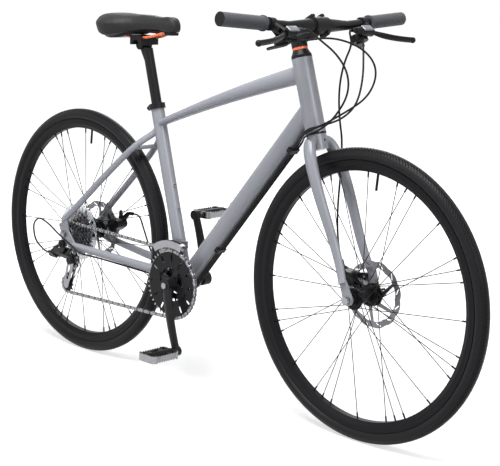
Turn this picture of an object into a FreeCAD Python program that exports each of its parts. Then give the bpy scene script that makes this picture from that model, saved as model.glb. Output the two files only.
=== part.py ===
import FreeCAD, Part
import os
from math import asin, atan2, cos, hypot, pi, radians, sin, sqrt, tan

# Whole bike, in mm and degrees; +X forward, +Y left, +Z up, ground at zero
WHEELBASE = 1016.0
TYRE_RADIUS = 344.0
CHAINSTAY_LENGTH = 427.0
BB_DROP = 72.0
SEAT_ANGLE = 74.7
SEAT_TUBE_LENGTH = 472.0
HEAD_ANGLE = 73.0
HEAD_LENGTH = 177.0
FORK_RAKE = 49.0
AXLE_TO_HEAD = 393.0

# Fits, clearances and overruns
RUNNING_FIT = 0.05
SEAT_GAP = 0.3
MOVING_GAP = 0.6
CUT_OVERRUN = 4.0

# Stations along each shaped limb
LIMB_STEPS = 10

# Frame tubes
HEAD_RADIUS = 24.5
HEAD_BORE = 20.0
SEAT_RADIUS = 17.5
POST_RADIUS = 13.6
TUBE_WALL = 2.0
TOP_SEAT_DROP = 53.0
TOP_HEAD_DROP = 35.0
TOP_ARCH = 7.0
TOP_HEAD_DEPTH = 23.0
TOP_MID_DEPTH = 16.0
TOP_SEAT_DEPTH = 9.0
TOP_WIDTH = 18.0
TOP_SEAT_WIDTH = 15.5
DOWN_HEAD_RISE = 57.0
DOWN_DEPTH = 25.5
DOWN_HEAD_WIDTH = 20.5
DOWN_WIDTH = 24.0
SHELL_RADIUS = 22.0
SHELL_BORE = 17.5
SHELL_HALF = 34.0
BOSS_RADIUS = 5.5
BOSS_RISE = 2.0
BOSS_BORE = 2.5
BOSS_SPACING = 64.0
SEAT_BOSS_HEIGHT = 190.0
DOWN_BOSS_HEIGHT = 215.0

# Stays and rear ends
REAR_HALF = 67.5
END_THICK = 5.5
CHAINSTAY_BB_RISE = 17.0
CHAINSTAY_END_DROP = 29.0
CHAINSTAY_END_FORE = 34.0
CHAINSTAY_SPREAD = 71.0
CHAINSTAY_DEPTH = 13.0
CHAINSTAY_END_DEPTH = 9.5
CHAINSTAY_WIDTH = 8.5
CHAINSTAY_SHARES = ((0.02, 0.3), (0.12, 0.36), (0.21, 0.46), (0.5, 0.66), (0.78, 0.84), (1.0, 1.0))
SEATSTAY_JOIN = 65.0
SEATSTAY_END_RISE = 40.0
SEATSTAY_END_AFT = 4.0
SEATSTAY_SPREAD = 70.0
SEATSTAY_DEPTH = 9.0
SEATSTAY_WIDTH = 7.5
SEATSTAY_SHARES = ((0.0, 1.0), (0.35, 0.86), (0.7, 0.68), (0.84, 0.5), (0.93, 0.24), (0.985, 0.13))
BRIDGE_SHARE = 0.8
BRIDGE_RADIUS = 6.0
END_HUB_RADIUS = 15.0
END_TIP_RADIUS = 10.0
HANGER_AFT = 6.0
HANGER_DROP = 30.0
HANGER_RADIUS = 10.0
EYELET_RISE = 21.0
EYELET_AFT = 19.0
EYELET_RADIUS = 6.5

# Bearings, seat clamp
CUP_HEIGHT = 4.0
CUP_DEPTH = 12.0
STEERER_RADIUS = 14.3
STEERER_BORE = 11.6
BB_CUP_FLANGE = 3.0
BB_CUP_RADIUS = 20.5
BB_CUP_DEPTH = 18.0
SPINDLE_RADIUS = 8.5
CLAMP_HEIGHT = 14.0
CLAMP_WALL = 4.0
CLAMP_EAR = 7.0
CLAMP_SLOT = 2.0
CLAMP_BOLT = 2.6
CLAMP_HEAD = 4.2

# Wheels: tyre, rim, spokes, hubs
TYRE_HALF = 17.5
TREAD_HALF = 16.0
TREAD_DROP = 11.0
TYRE_WALL = 2.4
TREAD_WALL = 4.0
BEAD_HALF = 10.5
BEAD_RADIUS = 311.0
HOOK_RADIUS = 315.5
RIM_HALF = 12.6
RIM_WALL = 1.7
RIM_INNER = 291.0
RIM_BED_HALF = 7.5
RIM_FLANK_RADIUS = 302.0
RIM_FLOOR = 2.6
VALVE_RADIUS = 3.0
VALVE_LENGTH = 40.0
SPOKES = 32
SPOKE_RADIUS = 0.95
NIPPLE_RADIUS = 2.0
NIPPLE_LENGTH = 13.0
SPOKE_CROSS_SHARE = 0.75
FLANGE_THICK = 2.6
FLANGE_PITCH_RADIUS = 21.5
FLANGE_RADIUS = 25.5
SPOKE_HOLE = 1.25
SPOKE_HEAD = 1.9
SPOKE_BEND_OUT = 3.0
HUB_RADIUS = 14.0
FRONT_HALF = 50.0
FRONT_AXLE_RADIUS = 5.0
REAR_AXLE_RADIUS = 6.0
LOCKNUT_RADIUS = 8.5
FRONT_FLANGES = (-33.0, 22.0)
REAR_FLANGES = (-18.0, 34.0)
FRONT_HUB_ENDS = (-40.0, 40.5)
REAR_HUB_ENDS = (-25.0, 56.0)
PROTECTOR_RADIUS = 80.0
PROTECTOR_THICK = 1.4
PROTECTOR_SLOTS = 12
SLOT_SHARES = (0.5, 0.86)
SLOT_HALF = 6.0

# Disc rotors and brakes
ROTOR_RADIUS = 80.0
ROTOR_WAVE = 3.0
ROTOR_BAND = 15.0
ROTOR_THICK = 1.8
ROTOR_LOBES = 12
ROTOR_ARMS = 6
ROTOR_ARM_HALF = 3.5
ROTOR_HUB_RADIUS = 27.0
ROTOR_BOLT_CIRCLE = 22.0
ROTOR_BOLT_HEAD = 4.0
ROTOR_BOLT_RISE = 2.0
ROTOR_BORE = 17.2
ROTOR_SLOT = 1.6
ROTOR_SLOT_SHARES = (0.8, 0.3)
ROTOR_LEAN_SHARE = 0.15
ROTOR_ROOT_SHARE = 1.5
FRONT_ROTOR_Y = 38.5
REAR_ROTOR_Y = 51.5
CALIPER_RADIUS = 72.0
CALIPER_INNER = 58.5
CALIPER_BODY = 17.0
CALIPER_IN = 15.0
CALIPER_OUT = 19.0
CALIPER_SLOT = 2.4
CALIPER_BRIDGE = 92.0
CALIPER_EAR = 9.0
CALIPER_EAR_SPREAD = 20.0
CALIPER_EAR_RADIUS = 46.0
CALIPER_EAR_THICK = 6.0
CALIPER_BOLT = 3.0
CALIPER_BOLT_HEAD = 4.6
CALIPER_PIVOT = 6.0
PAD_RADIUS = 8.5
CALIPER_WEB_SHARE = 0.6
CALIPER_TOP_SHARE = 0.7
CALIPER_EAR_SHARE = 0.8
CALIPER_LUG_SHARE = 0.9
STOP_POST_SHARE = 0.8
BRAKE_ARM_LENGTH = 34.0
BRAKE_ARM_THICK = 4.0
BRAKE_ARM_ROOT = 10.0
BRAKE_ARM_TIP = 5.5
CABLE_STOP_RUN = 38.0
CABLE_STOP_RADIUS = 5.0
CABLE_STOP_LENGTH = 14.0
FRONT_CALIPER_ANGLE = 159.0
REAR_CALIPER_ANGLE = 17.0
FRONT_ARM_ANGLE = 204.0
REAR_ARM_ANGLE = 92.0

# Skewers
SKEWER_NUT_RADIUS = 9.0
SKEWER_NUT_LENGTH = 10.0
SKEWER_CAP_LENGTH = 7.0
SKEWER_PIN = 4.0
SKEWER_CAM = 8.0
SKEWER_CROSS_PIN = 2.5
SKEWER_EYE_HALF = 4.5
SKEWER_LEVER = 56.0
SKEWER_TIP = 6.5
SKEWER_LEVER_THICK = 5.0
FRONT_SKEWER_ANGLE = 195.0
REAR_SKEWER_ANGLE = 100.0

# Chain and its toothed wheels
CHAIN_PITCH = 12.7
ROLLER_RADIUS = 3.87
PIN_RADIUS = 1.8
PIN_FIT = 0.12
PIN_PROUD = 0.2
INNER_GAP = 1.3
PLATE_THICK = 0.9
PLATE_GAP = 0.12
PLATE_END = 4.15
PLATE_WAIST = 3.1
TOOTH_GAP = 0.35
TOOTH_RISE = 3.2
TOOTH_TIP = 0.9
TOOTH_SEAT_ANGLE = 75.0
COG_TEETH = (11, 13, 15, 18, 21, 24, 28, 32)
COG_THICK = 1.8
COG_SPACING = 4.8
COG_FIRST_Y = -61.0
CHAIN_COG = 2
COG_WINDOW_TEETH = 21
COG_WINDOWS = 8
COG_WINDOW_SHARE = 0.16
FREEHUB_RADIUS = 17.0
FREEHUB_INNER_Y = -25.7
LOCKRING_THICK = 1.6
RING_TEETH = (44, 32, 22)
RING_THICK = 2.0
RING_SPACING = 7.5
RING_BORES = (44.0, 45.0, 26.0)
RING_BOLT_CIRCLE = 52.0
SMALL_BOLT_CIRCLE = 32.0
RING_BOLT_RADIUS = 5.0
RING_SHANK_SHARE = 0.8
RING_BOLT_RISE = 2.2
RING_BOLTS = 4
RING_SLOTS = 12
RING_SLOT_SHARES = (0.72, 0.86)
RING_SLOT_HALF = 3.2
PULLEY_TEETH = 11
PULLEY_BORE = 3.2
PULLEY_HUB = 7.5
PULLEY_HUB_HALF = 3.6

# Cranks and pedals
CRANK_LENGTH = 170.0
CRANK_ANGLE = -69.5
CRANK_BOSS = 18.0
CRANK_BOSS_OUT = 76.0
CRANK_ROOT_Y = 67.0
CRANK_TIP_Y = 86.0
CRANK_ROOT_DEPTH = 16.0
CRANK_TIP_DEPTH = 12.0
CRANK_THICK = 7.5
CRANK_SHARES = (0.0, 0.35, 1.0)
PEDAL_EYE = 13.0
SPIDER_ARM_ROOT = 11.0
SPIDER_ARM_TIP = 8.0
SPINDLE_HALF = 60.0
CRANK_BOLT = 8.0
CRANK_BOLT_RISE = 4.0
PEDAL_AXLE = 5.5
PEDAL_NECK = 7.5
PEDAL_NECK_LENGTH = 8.0
PEDAL_WIDTH = 88.0
PEDAL_LENGTH = 64.0
PEDAL_HEIGHT = 19.0
PEDAL_PLATE = 2.4
PEDAL_CORNER = 12.0
PEDAL_BARREL = 11.0
PEDAL_BAR_SHARE = 0.26
PEDAL_BAR = 14.0
PEDAL_BAR_HEIGHT = 12.0
PEDAL_TEETH = 8
PEDAL_TOOTH = 4.0

# Front derailleur
FRONT_BAND_HEIGHT = 92.0
FRONT_BAND_WIDTH = 14.0
FRONT_NECK_SHARE = 0.6
FRONT_BAND_WALL = 2.5
FRONT_CAGE_GAP = 5.8
FRONT_CAGE_PLATE = 1.5
FRONT_CAGE_OUTER = 97.5
FRONT_CAGE_INNER = 86.0
FRONT_CAGE_TOP = 116.0
FRONT_CAGE_ANGLES = (68.0, 126.0)
FRONT_CAGE_BRIDGE = 5.0
FRONT_BODY_REACH = 29.0
FRONT_BODY_FORE = 14.0
FRONT_BODY_AFT = 10.0
FRONT_BODY_LOW = 97.0
FRONT_BODY_HIGH = 111.0
FRONT_ARM_THICK = 4.0
FRONT_ARM_END = 24.0

# Rear derailleur
MECH_PIVOT_FORE = 18.0
MECH_PIVOT_DROP = 74.0
GUIDE_AFT = 9.0
GUIDE_DROP = 3.0
TENSION_AFT = 28.0
TENSION_DROP = 77.0
CAGE_SEARCH = 14.0
CAGE_GAP = 5.6
CAGE_PLATE = 2.0
CAGE_HEAD = 14.0
CAGE_TAIL = 11.0
CAGE_WINDOW = 6.0
CAGE_WINDOW_SHARES = (0.3, 0.72)
CAGE_TAPER_SHARE = 0.8
CAGE_STUB = 5.0
KNUCKLE_RADIUS = 11.0
KNUCKLE_Y = 74.0
MECH_SLANT = 43.0
LINK_SWING = -13.0
LINK_LENGTH = 52.0
LINK_SPACING = 13.0
LINK_HALF = 8.0
LINK_END = 5.0
LINK_PIN = 2.5
LINK_TOP_AFT = 5.0
LINK_TOP_RISE = 28.0
LINK_TOP_Y = 90.0
EAR_THICK = 3.5
EAR_END = 6.5
POST_REACH = 22.0
POST_END = 5.0
MOUNT_RADIUS = 11.0
MOUNT_THICK = 10.0
BARREL_RADIUS = 4.5
BARREL_LENGTH = 20.0
SEATED_SHARE = 0.4

# Seatpost and saddle
POST_INSERT = 185.0
POST_RISE = 156.0
HEAD_SETBACK = 12.0
HEAD_TRIM = 7.0
POST_WALL = 2.4
HEAD_DRUM = 13.0
HEAD_DRUM_HALF = 17.0
JAW_HALF = 30.0
JAW_LENGTH = 22.0
JAW_PLATE = 5.0
RAIL_RISE = 19.0
RAIL_RADIUS = 3.5
RAIL_NOSE_SHARES = (0.9, 0.1, 0.3)
RAIL_TAIL_SHARES = (0.1, 0.36, 0.2)
RAIL_HALF = 22.0
RAIL_FLAT = 40.0
SADDLE_LENGTH = 266.0
SADDLE_NOSE_FORE = 131.0
SADDLE_HALF = 77.0
SADDLE_RISE = 78.0
SADDLE_DEPTH = 56.0
SADDLE_SHARES = (
    (0.0, 0.5, 0.8, 0.45), (0.05, 0.86, 0.95, 0.15), (0.14, 1.0, 1.0, 0.0), (0.3, 0.9, 0.97, 0.05),
    (0.48, 0.52, 0.93, 0.24), (0.68, 0.33, 0.93, 0.3), (0.88, 0.27, 0.93, 0.24), (0.965, 0.22, 0.86, 0.24),
    (1.0, 0.12, 0.62, 0.3))
SADDLE_DRAW_SHARE = 0.86
SADDLE_FLANK_SHARE = 0.55
BASE_DEPTH = 7.0
BASE_SHARE = 0.8

# Headset stack and fork
COVER_HEIGHT = 15.0
COVER_TOP_RADIUS = 18.0
RING_HEIGHT = 6.0
RING_RADIUS = 18.5
CAP_HEIGHT = 4.0
CAP_RADIUS = 17.0
CROWN_HEIGHT = 36.0
CROWN_RADIUS = 23.5
CROWN_HOLE = 3.1
CROWN_HOLE_DROP = 16.0
BLADE_SHARES = (
    (0.955, 0.02, 0.28, 1.0), (0.9, 0.14, 0.7, 1.0), (0.82, 0.24, 0.84, 0.97), (0.6, 0.46, 0.92, 0.86),
    (0.1, 0.92, 1.0, 0.62))
BLADE_DEPTH = 16.0
BLADE_WIDTH = 13.0
BLADE_SPREAD = 57.0
FORK_END_RADIUS = 13.0
FORK_END_TIP = 9.0
FORK_END_RUN = 42.0

# Stem and handlebar
STEM_CLAMP_HEIGHT = 40.0
STEM_RADIUS = 19.0
STEM_REACH = 70.0
STEM_RISE = 12.0
STEM_DEPTH = 17.0
STEM_WIDTH = 15.0
BAR_CLAMP = 15.9
BAR_RADIUS = 11.1
BAR_WALL = 2.2
BAR_HALF = 308.0
BAR_BULGE_HALF = 38.0
BAR_BEND = 100.0
BAR_SWEEP = 6.0
BAR_RISE = 15.0
FACE_WALL = 4.5
FACE_HALF = 23.0
FACE_SPLIT = 0.8
FACE_BOLT = 2.5
FACE_BOLT_HEAD = 4.3
FACE_BOLT_SPREAD = 16.0
FACE_BOLT_HEIGHT = 21.0
FACE_LUG = 6.0
GRIP_RADIUS = 16.0
GRIP_LENGTH = 128.0
GRIP_CAP = 3.0
GRIP_FLANGE = 18.0
GRIP_FLANGE_WIDTH = 5.0

# Brake and shift controls, places from the bar's centre line
PERCH_Y = 158.0
PERCH_HALF = 8.0
PERCH_WALL = 4.0
LEVER_PIVOT_FORE = 34.0
LEVER_PIVOT_DROP = 14.0
LEVER_PIVOT_Y = 150.0
LEVER_PIVOT_RADIUS = 8.0
LEVER_HUB_HALF = 4.5
LEVER_PIN = 2.5
LEVER_SLANT = 57.0
LEVER_TIP_FORE = 68.0
LEVER_TIP_DROP = 33.0
LEVER_TIP_Y = 266.0
LEVER_DEPTH = 7.5
LEVER_WIDTH = 5.0
LEVER_SHARES = ((0.0, 0.0), (0.22, 0.42), (0.6, 0.8), (1.0, 1.0))
BODY_INNER_Y = 92.0
BODY_FORE = 33.0
BODY_DROP = 10.0
BODY_RADIUS = 11.0
BODY_SHARES = (1.1, 0.6, 0.8, 0.9, 0.7)
ADJUSTER_RADIUS = 5.0
ADJUSTER_LENGTH = 12.0
POD_Y = 132.0
POD_FORE = 12.0
POD_DROP = 31.0
POD_RADIUS = 21.0
POD_HALF = 9.0
POD_TILT = 25.0
SHIFT_OUT_SHARE = 0.8
PADDLE_LENGTH = 34.0
PADDLE_TIP = 7.0
PADDLE_ROOT = 9.0
PADDLE_THICK = 4.0
PADDLE_ANGLE = 235.0

# Cable housings, in shares of the loop's reach, spread and rise from the foot of the head tube
HOUSING_RADIUS = 2.4
CORD_ARC_SHARE = 0.45
STRAIGHT_ANGLE = 0.5
LOOP_REACH = 200.0
LOOP_SPREAD = 100.0
LOOP_RISE = 200.0
REAR_BRAKE_SHARES = (
    (0.56, -0.62, 0.99), (0.67, -0.33, 0.78), (0.72, -0.18, 0.54), (0.66, -0.17, 0.31), (0.49, -0.32, 0.11),
    (0.28, -0.4, 0.0), (0.02, -0.46, -0.025))
REAR_SHIFT_SHARES = (
    (0.68, -0.42, 0.97), (0.86, 0.03, 0.82), (0.95, 0.24, 0.62), (0.94, 0.22, 0.42), (0.82, 0.05, 0.23),
    (0.58, -0.17, 0.13), (0.29, -0.34, 0.05), (0.0, -0.385, 0.015))
FRONT_SHIFT_SHARES = (
    (0.59, 0.82, 0.82), (0.6, 0.6, 0.5), (0.55, 0.33, 0.21), (0.42, 0.06, 0.08), (0.22, -0.18, 0.05),
    (-0.02, -0.33, 0.05))
FRONT_BRAKE_SHARES = (
    (0.45, 0.82, 0.94), (0.32, 0.7, 0.75), (0.2, 0.64, 0.48), (0.12, 0.64, 0.15), (0.08, 0.68, -0.2))
DOWN_LANES = (-9.0, 0.0, 9.0)
DOWN_LANE_DEPTH = 29.0
DOWN_STOP_DROP = 105.0
CLIP_HALF = 7.0
CLIP_WIDTH = 14.0
CLIP_DEPTH = 33.0
CLIP_SHARE = 0.3
GUIDE_RUN = 60.0
GUIDE_SHARE = 0.75
STAY_SHARES = ((0.16, 0.4), (0.34, 0.56), (0.5, 0.68), (0.74, 0.86), (0.9, 1.11))
BRAKE_STAY_SHARES = ((0.16, 0.4), (0.3, 0.54), (0.44, 0.84))
BRAKE_BESIDE_SHARES = (0.57, 1.0)
SHIFT_LOOP_REACH = 100.0
SHIFT_LOOP_OUT = 95.0
SHIFT_LOOP_RISE = 40.0
SHIFT_LOOP_SHARES = (
    (0.4, 0.9, -0.56), (0.0, 0.98, -0.02), (-0.45, 1.0, 0.62), (-0.92, 0.98, 0.9), (-1.25, 0.94, 0.3),
    (-1.26, 0.86, -0.95))
FRONT_CLIMB_SHARES = (
    (0.35, 0.14, -0.08), (0.38, 0.28, 0.31), (0.41, 0.6, 0.62), (0.25, 0.86, 0.84), (0.02, 0.76, 0.955))

V = FreeCAD.Vector
FORE = V(1, 0, 0)
LEFT = V(0, 1, 0)
UP = V(0, 0, 1)


def level(angle):
    """Unit direction in the bike's middle plane, an angle above straight ahead."""
    return V(cos(radians(angle)), 0, sin(radians(angle)))


# Main places that everything is built on
REAR = V(-WHEELBASE / 2, 0, TYRE_RADIUS)
FRONT = V(WHEELBASE / 2, 0, TYRE_RADIUS)
BB = REAR + V(sqrt(CHAINSTAY_LENGTH ** 2 - BB_DROP ** 2), 0, -BB_DROP)
STEER_UP = level(180 - HEAD_ANGLE)
STEER_FORE = level(90 - HEAD_ANGLE)
SEAT_UP = level(180 - SEAT_ANGLE)
SEAT_AHEAD = level(90 - SEAT_ANGLE)
AXIS_FOOT = FRONT - STEER_FORE * FORK_RAKE
HEAD_LOW = AXIS_FOOT + STEER_UP * AXLE_TO_HEAD
HEAD_HIGH = HEAD_LOW + STEER_UP * HEAD_LENGTH
SEAT_TOP = BB + SEAT_UP * SEAT_TUBE_LENGTH
DOWN_HEAD = HEAD_LOW + STEER_UP * DOWN_HEAD_RISE
DOWN_ALONG = (DOWN_HEAD - BB).normalize()
DOWN_UNDER = V(DOWN_ALONG.z, 0, -DOWN_ALONG.x)
CHAIN_Y = COG_FIRST_Y + COG_SPACING * CHAIN_COG


def side(point, y):
    """The same place, moved sideways from the middle plane."""
    return point + LEFT * y


def mirrored(shape):
    """The same piece on the other side of the bike."""
    return shape.mirror(V(0, 0, 0), LEFT)


def rod(start, end, radius):
    """Round bar between two places."""
    run = end - start
    return Part.makeCylinder(radius, run.Length, start, run)


def pipe(start, end, outer, inner):
    """Round tube between two places."""
    return rod(start, end, outer).cut(rod(start, end, inner))


def turned(profile, base, axis):
    """Piece turned from a closed profile of (radius, height) corners."""
    corners = [V(radius, 0, height) for radius, height in profile]
    face = Part.Face(Part.makePolygon(corners + corners[:1]))
    solid = face.revolve(V(0, 0, 0), UP, 360)
    solid.Placement = FreeCAD.Placement(base, FreeCAD.Rotation(UP, axis))
    return solid


def strap_face(start, start_radius, end, end_radius, normal):
    """Flat outline with two round ends and straight flanks."""
    run = (end - start).Length
    along = (end - start).normalize()
    across = normal.cross(along)
    lean = (start_radius - end_radius) / run
    spread = sqrt(1 - lean * lean)
    flank_a = along * lean + across * spread
    flank_b = along * lean - across * spread
    back = start - along * start_radius
    edges = [
        Part.Arc(start + flank_a * start_radius, back, start + flank_b * start_radius),
        Part.LineSegment(start + flank_b * start_radius, end + flank_b * end_radius),
        Part.Arc(end + flank_b * end_radius, end + along * end_radius, end + flank_a * end_radius),
        Part.LineSegment(end + flank_a * end_radius, start + flank_a * start_radius)]
    return Part.Face(Part.Wire([edge.toShape() for edge in edges]))


def strap(start, start_radius, end, end_radius, normal, thickness):
    """Plate with two round ends."""
    return strap_face(start, start_radius, end, end_radius, normal).extrude(normal * thickness)


UNIT_CIRCLE = Part.Wire(Part.makeCircle(1))


def oval(centre, along, across, half_depth, half_width):
    """Closed oval outline square to a run."""
    width = (across - along * across.dot(along)).normalize()
    depth = along.cross(width)
    matrix = FreeCAD.Matrix(
        width.x * half_width, depth.x * half_depth, along.x, centre.x,
        width.y * half_width, depth.y * half_depth, along.y, centre.y,
        width.z * half_width, depth.z * half_depth, along.z, centre.z)
    return UNIT_CIRCLE.transformGeometry(matrix)


def smoothed(stations):
    """More stations at even steps along a smooth line through the given ones."""
    line = Part.BSplineCurve()
    line.interpolate([station[0] for station in stations])
    knots = [line.parameter(station[0]) for station in stations]
    filled = []
    for number in range(LIMB_STEPS + 1):
        spot = knots[0] + (knots[-1] - knots[0]) * number / LIMB_STEPS
        span = max(index for index in range(len(knots) - 1) if knots[index] <= spot)
        share = (spot - knots[span]) / (knots[span + 1] - knots[span])
        pairs = zip(stations[span][1:], stations[span + 1][1:])
        sizes = [low + (high - low) * share for low, high in pairs]
        filled.append((line.value(spot), sizes[0], sizes[1]))
    return filled


def limb(stations, across, wall=0):
    """Solid drawn through ovals; each station is (place, half depth, half width)."""
    straight = len(stations) == 2
    if not straight:
        stations = smoothed(stations)
    places = [station[0] for station in stations]
    last = len(places) - 1
    outlines = []
    for number, (place, depth, width) in enumerate(stations):
        along = (places[min(number + 1, last)] - places[max(number - 1, 0)]).normalize()
        outlines.append(oval(place, along, across, depth - wall, width - wall))
    return Part.makeLoft(outlines, True, straight)


def tube(stations, across, wall):
    """Open-ended shaped tube."""
    return limb(stations, across).cut(limb(stations, across, wall))


def cord(places, radius):
    """Housing of straight runs joined by tangent arcs."""
    edges = []
    start = places[0]
    for before, corner, after in zip(places, places[1:], places[2:]):
        reach = CORD_ARC_SHARE * min((before - corner).Length, (after - corner).Length)
        back = (before - corner).normalize()
        ahead = (after - corner).normalize()
        half = back.getAngle(ahead) / 2
        if pi / 2 - half < radians(STRAIGHT_ANGLE):
            continue
        inward = (back + ahead).normalize()
        middle = corner + inward * (reach * tan((pi / 2 - half) / 2))
        edges.append(Part.LineSegment(start, corner + back * reach).toShape())
        edges.append(Part.Arc(corner + back * reach, middle, corner + ahead * reach).toShape())
        start = corner + ahead * reach
    edges.append(Part.LineSegment(start, places[-1]).toShape())
    path = Part.Wire(edges)
    disc = Part.Wire(Part.makeCircle(radius, places[0], places[1] - places[0]))
    return path.makePipeShell([disc], True, False)


def spun(shape, centre, angle):
    """Copy turned about the wheel axis through a place."""
    copy = shape.copy()
    copy.rotate(centre, LEFT, angle)
    return copy


# Frame


def head_tube():
    return pipe(HEAD_LOW, HEAD_HIGH, HEAD_RADIUS, HEAD_BORE)


def head_block():
    return rod(HEAD_LOW, HEAD_HIGH, HEAD_RADIUS)


def seat_block():
    return rod(BB, SEAT_TOP, SEAT_RADIUS)


def shell_block():
    return rod(side(BB, -SHELL_HALF), side(BB, SHELL_HALF), SHELL_RADIUS)


def bottom_bracket_shell():
    return pipe(side(BB, -SHELL_HALF), side(BB, SHELL_HALF), SHELL_RADIUS, SHELL_BORE)


def boss(place, out):
    """Bottle boss standing on a tube, sunk to the tube's wall."""
    return rod(place - out * TUBE_WALL, place + out * BOSS_RISE, BOSS_RADIUS)


def seat_bosses():
    low = BB + SEAT_UP * SEAT_BOSS_HEIGHT + SEAT_AHEAD * SEAT_RADIUS
    return [low, low + SEAT_UP * BOSS_SPACING]


def down_bosses():
    low = BB + DOWN_ALONG * DOWN_BOSS_HEIGHT - DOWN_UNDER * DOWN_DEPTH
    return [low, low + DOWN_ALONG * BOSS_SPACING]


def seat_tube():
    solid = seat_block()
    for place in seat_bosses():
        solid = solid.fuse(boss(place, SEAT_AHEAD))
    solid = solid.cut(rod(BB, SEAT_TOP, POST_RADIUS + RUNNING_FIT))
    for place in seat_bosses():
        depth = SEAT_AHEAD * SEAT_RADIUS
        solid = solid.cut(rod(place - depth, place + depth, BOSS_BORE))
    return solid.cut(shell_block()).removeSplitter()


def top_stations():
    aft = SEAT_TOP - SEAT_UP * TOP_SEAT_DROP
    fore = HEAD_HIGH - STEER_UP * TOP_HEAD_DROP
    middle = (aft + fore) * 0.5 + UP * TOP_ARCH
    return [(aft, TOP_SEAT_DEPTH, TOP_SEAT_WIDTH), (middle, TOP_MID_DEPTH, TOP_WIDTH),
            (fore, TOP_HEAD_DEPTH, TOP_WIDTH)]


def top_tube():
    return tube(top_stations(), LEFT, TUBE_WALL).cut(seat_block()).cut(head_block())


def down_stations():
    return [(BB, DOWN_DEPTH, DOWN_WIDTH), (DOWN_HEAD, DOWN_DEPTH, DOWN_HEAD_WIDTH)]


def down_tube():
    solid = limb(down_stations(), LEFT)
    for place in down_bosses():
        solid = solid.fuse(boss(place, -DOWN_UNDER))
    solid = solid.cut(limb(down_stations(), LEFT, TUBE_WALL))
    for place in down_bosses():
        solid = solid.cut(rod(place + DOWN_UNDER * DOWN_DEPTH, place - DOWN_UNDER * DOWN_DEPTH, BOSS_BORE))
    solid = solid.cut(head_block()).cut(seat_block()).cut(shell_block())
    return max(solid.Solids, key=lambda piece: piece.Volume)


def right_chainstay():
    root = BB + UP * CHAINSTAY_BB_RISE
    tip = REAR + V(CHAINSTAY_END_FORE, 0, -CHAINSTAY_END_DROP)
    stations = []
    for along, out in CHAINSTAY_SHARES:
        place = side(root + (tip - root) * along, -CHAINSTAY_SPREAD * out)
        depth = CHAINSTAY_DEPTH + (CHAINSTAY_END_DEPTH - CHAINSTAY_DEPTH) * along
        stations.append((place, depth, CHAINSTAY_WIDTH))
    return tube(stations, LEFT, TUBE_WALL).cut(shell_block()).cut(seat_block())


def chainstays():
    right = right_chainstay()
    pieces = [right, mirrored(right)]
    ends = Part.makeCompound(rear_end_blocks())
    return [max(piece.cut(ends).Solids, key=lambda solid: solid.Volume) for piece in pieces]


def seatstay_place(along, out):
    root = REAR + V(-SEATSTAY_END_AFT, 0, SEATSTAY_END_RISE)
    tip = SEAT_TOP - SEAT_UP * SEATSTAY_JOIN
    return side(root + (tip - root) * along, -SEATSTAY_SPREAD * out)


def seatstay_stations():
    places = [seatstay_place(along, out) for along, out in SEATSTAY_SHARES]
    return [(place, SEATSTAY_DEPTH, SEATSTAY_WIDTH) for place in places]


def right_seatstay():
    return tube(seatstay_stations(), LEFT, TUBE_WALL).cut(seat_block())


def seatstays():
    half_space = Part.makeBox(WHEELBASE, WHEELBASE, WHEELBASE, V(-WHEELBASE, -WHEELBASE, 0))
    right = right_seatstay().common(half_space)
    right = max(right.cut(Part.makeCompound(rear_end_blocks())).Solids, key=lambda solid: solid.Volume)
    left = mirrored(right)
    bar = rod(seatstay_place(BRIDGE_SHARE, -1), seatstay_place(BRIDGE_SHARE, 1), BRIDGE_RADIUS)
    stay = limb(seatstay_stations(), LEFT)
    bridge = bar.cut(stay).cut(mirrored(stay))
    bridge = min(bridge.Solids, key=lambda solid: abs(solid.CenterOfMass.y))
    return [right, left, bridge]


def rear_end_outline(y):
    """Plate that joins both stays to the axle, before its holes."""
    base = side(REAR, y)
    low = base + V(CHAINSTAY_END_FORE, 0, -CHAINSTAY_END_DROP)
    high = base + V(-SEATSTAY_END_AFT, 0, SEATSTAY_END_RISE)
    plate = strap(base, END_HUB_RADIUS, low, END_TIP_RADIUS, LEFT, END_THICK)
    plate = plate.fuse(strap(base, END_HUB_RADIUS, high, END_TIP_RADIUS, LEFT, END_THICK))
    eyelet = base + V(-EYELET_AFT, 0, EYELET_RISE)
    return plate.fuse(strap(base, END_HUB_RADIUS, eyelet, EYELET_RADIUS, LEFT, END_THICK))


def rear_end_blocks():
    """Right and left plates without holes."""
    right = rear_end_outline(-REAR_HALF - END_THICK)
    root = side(REAR, -REAR_HALF - END_THICK)
    hanger = root + V(-HANGER_AFT, 0, -HANGER_DROP)
    right = right.fuse(strap(root, END_HUB_RADIUS, hanger, HANGER_RADIUS, LEFT, END_THICK))
    left = rear_end_outline(REAR_HALF)
    left = left.fuse(caliper_tab(REAR, REAR_CALIPER_ANGLE, REAR_HALF))
    return [right.removeSplitter(), left.removeSplitter()]


def rear_dropouts():
    pieces = []
    for plate, y in zip(rear_end_blocks(), (-REAR_HALF - END_THICK, REAR_HALF)):
        through = side(REAR, y)
        plate = plate.cut(rod(through, through + LEFT * END_THICK, FRONT_AXLE_RADIUS + RUNNING_FIT))
        eyelet = through + V(-EYELET_AFT, 0, EYELET_RISE)
        plate = plate.cut(rod(eyelet, eyelet + LEFT * END_THICK, BOSS_BORE))
        pieces.append(plate)
    hanger = side(REAR, -REAR_HALF - END_THICK) + V(-HANGER_AFT, 0, -HANGER_DROP)
    pieces[0] = pieces[0].cut(rod(hanger, hanger + LEFT * END_THICK, CAGE_STUB + RUNNING_FIT))
    for bolt in caliper_bolts(REAR, REAR_CALIPER_ANGLE, REAR_HALF):
        pieces[1] = pieces[1].cut(rod(bolt, bolt + LEFT * END_THICK, CALIPER_BOLT + RUNNING_FIT))
    return pieces


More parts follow.
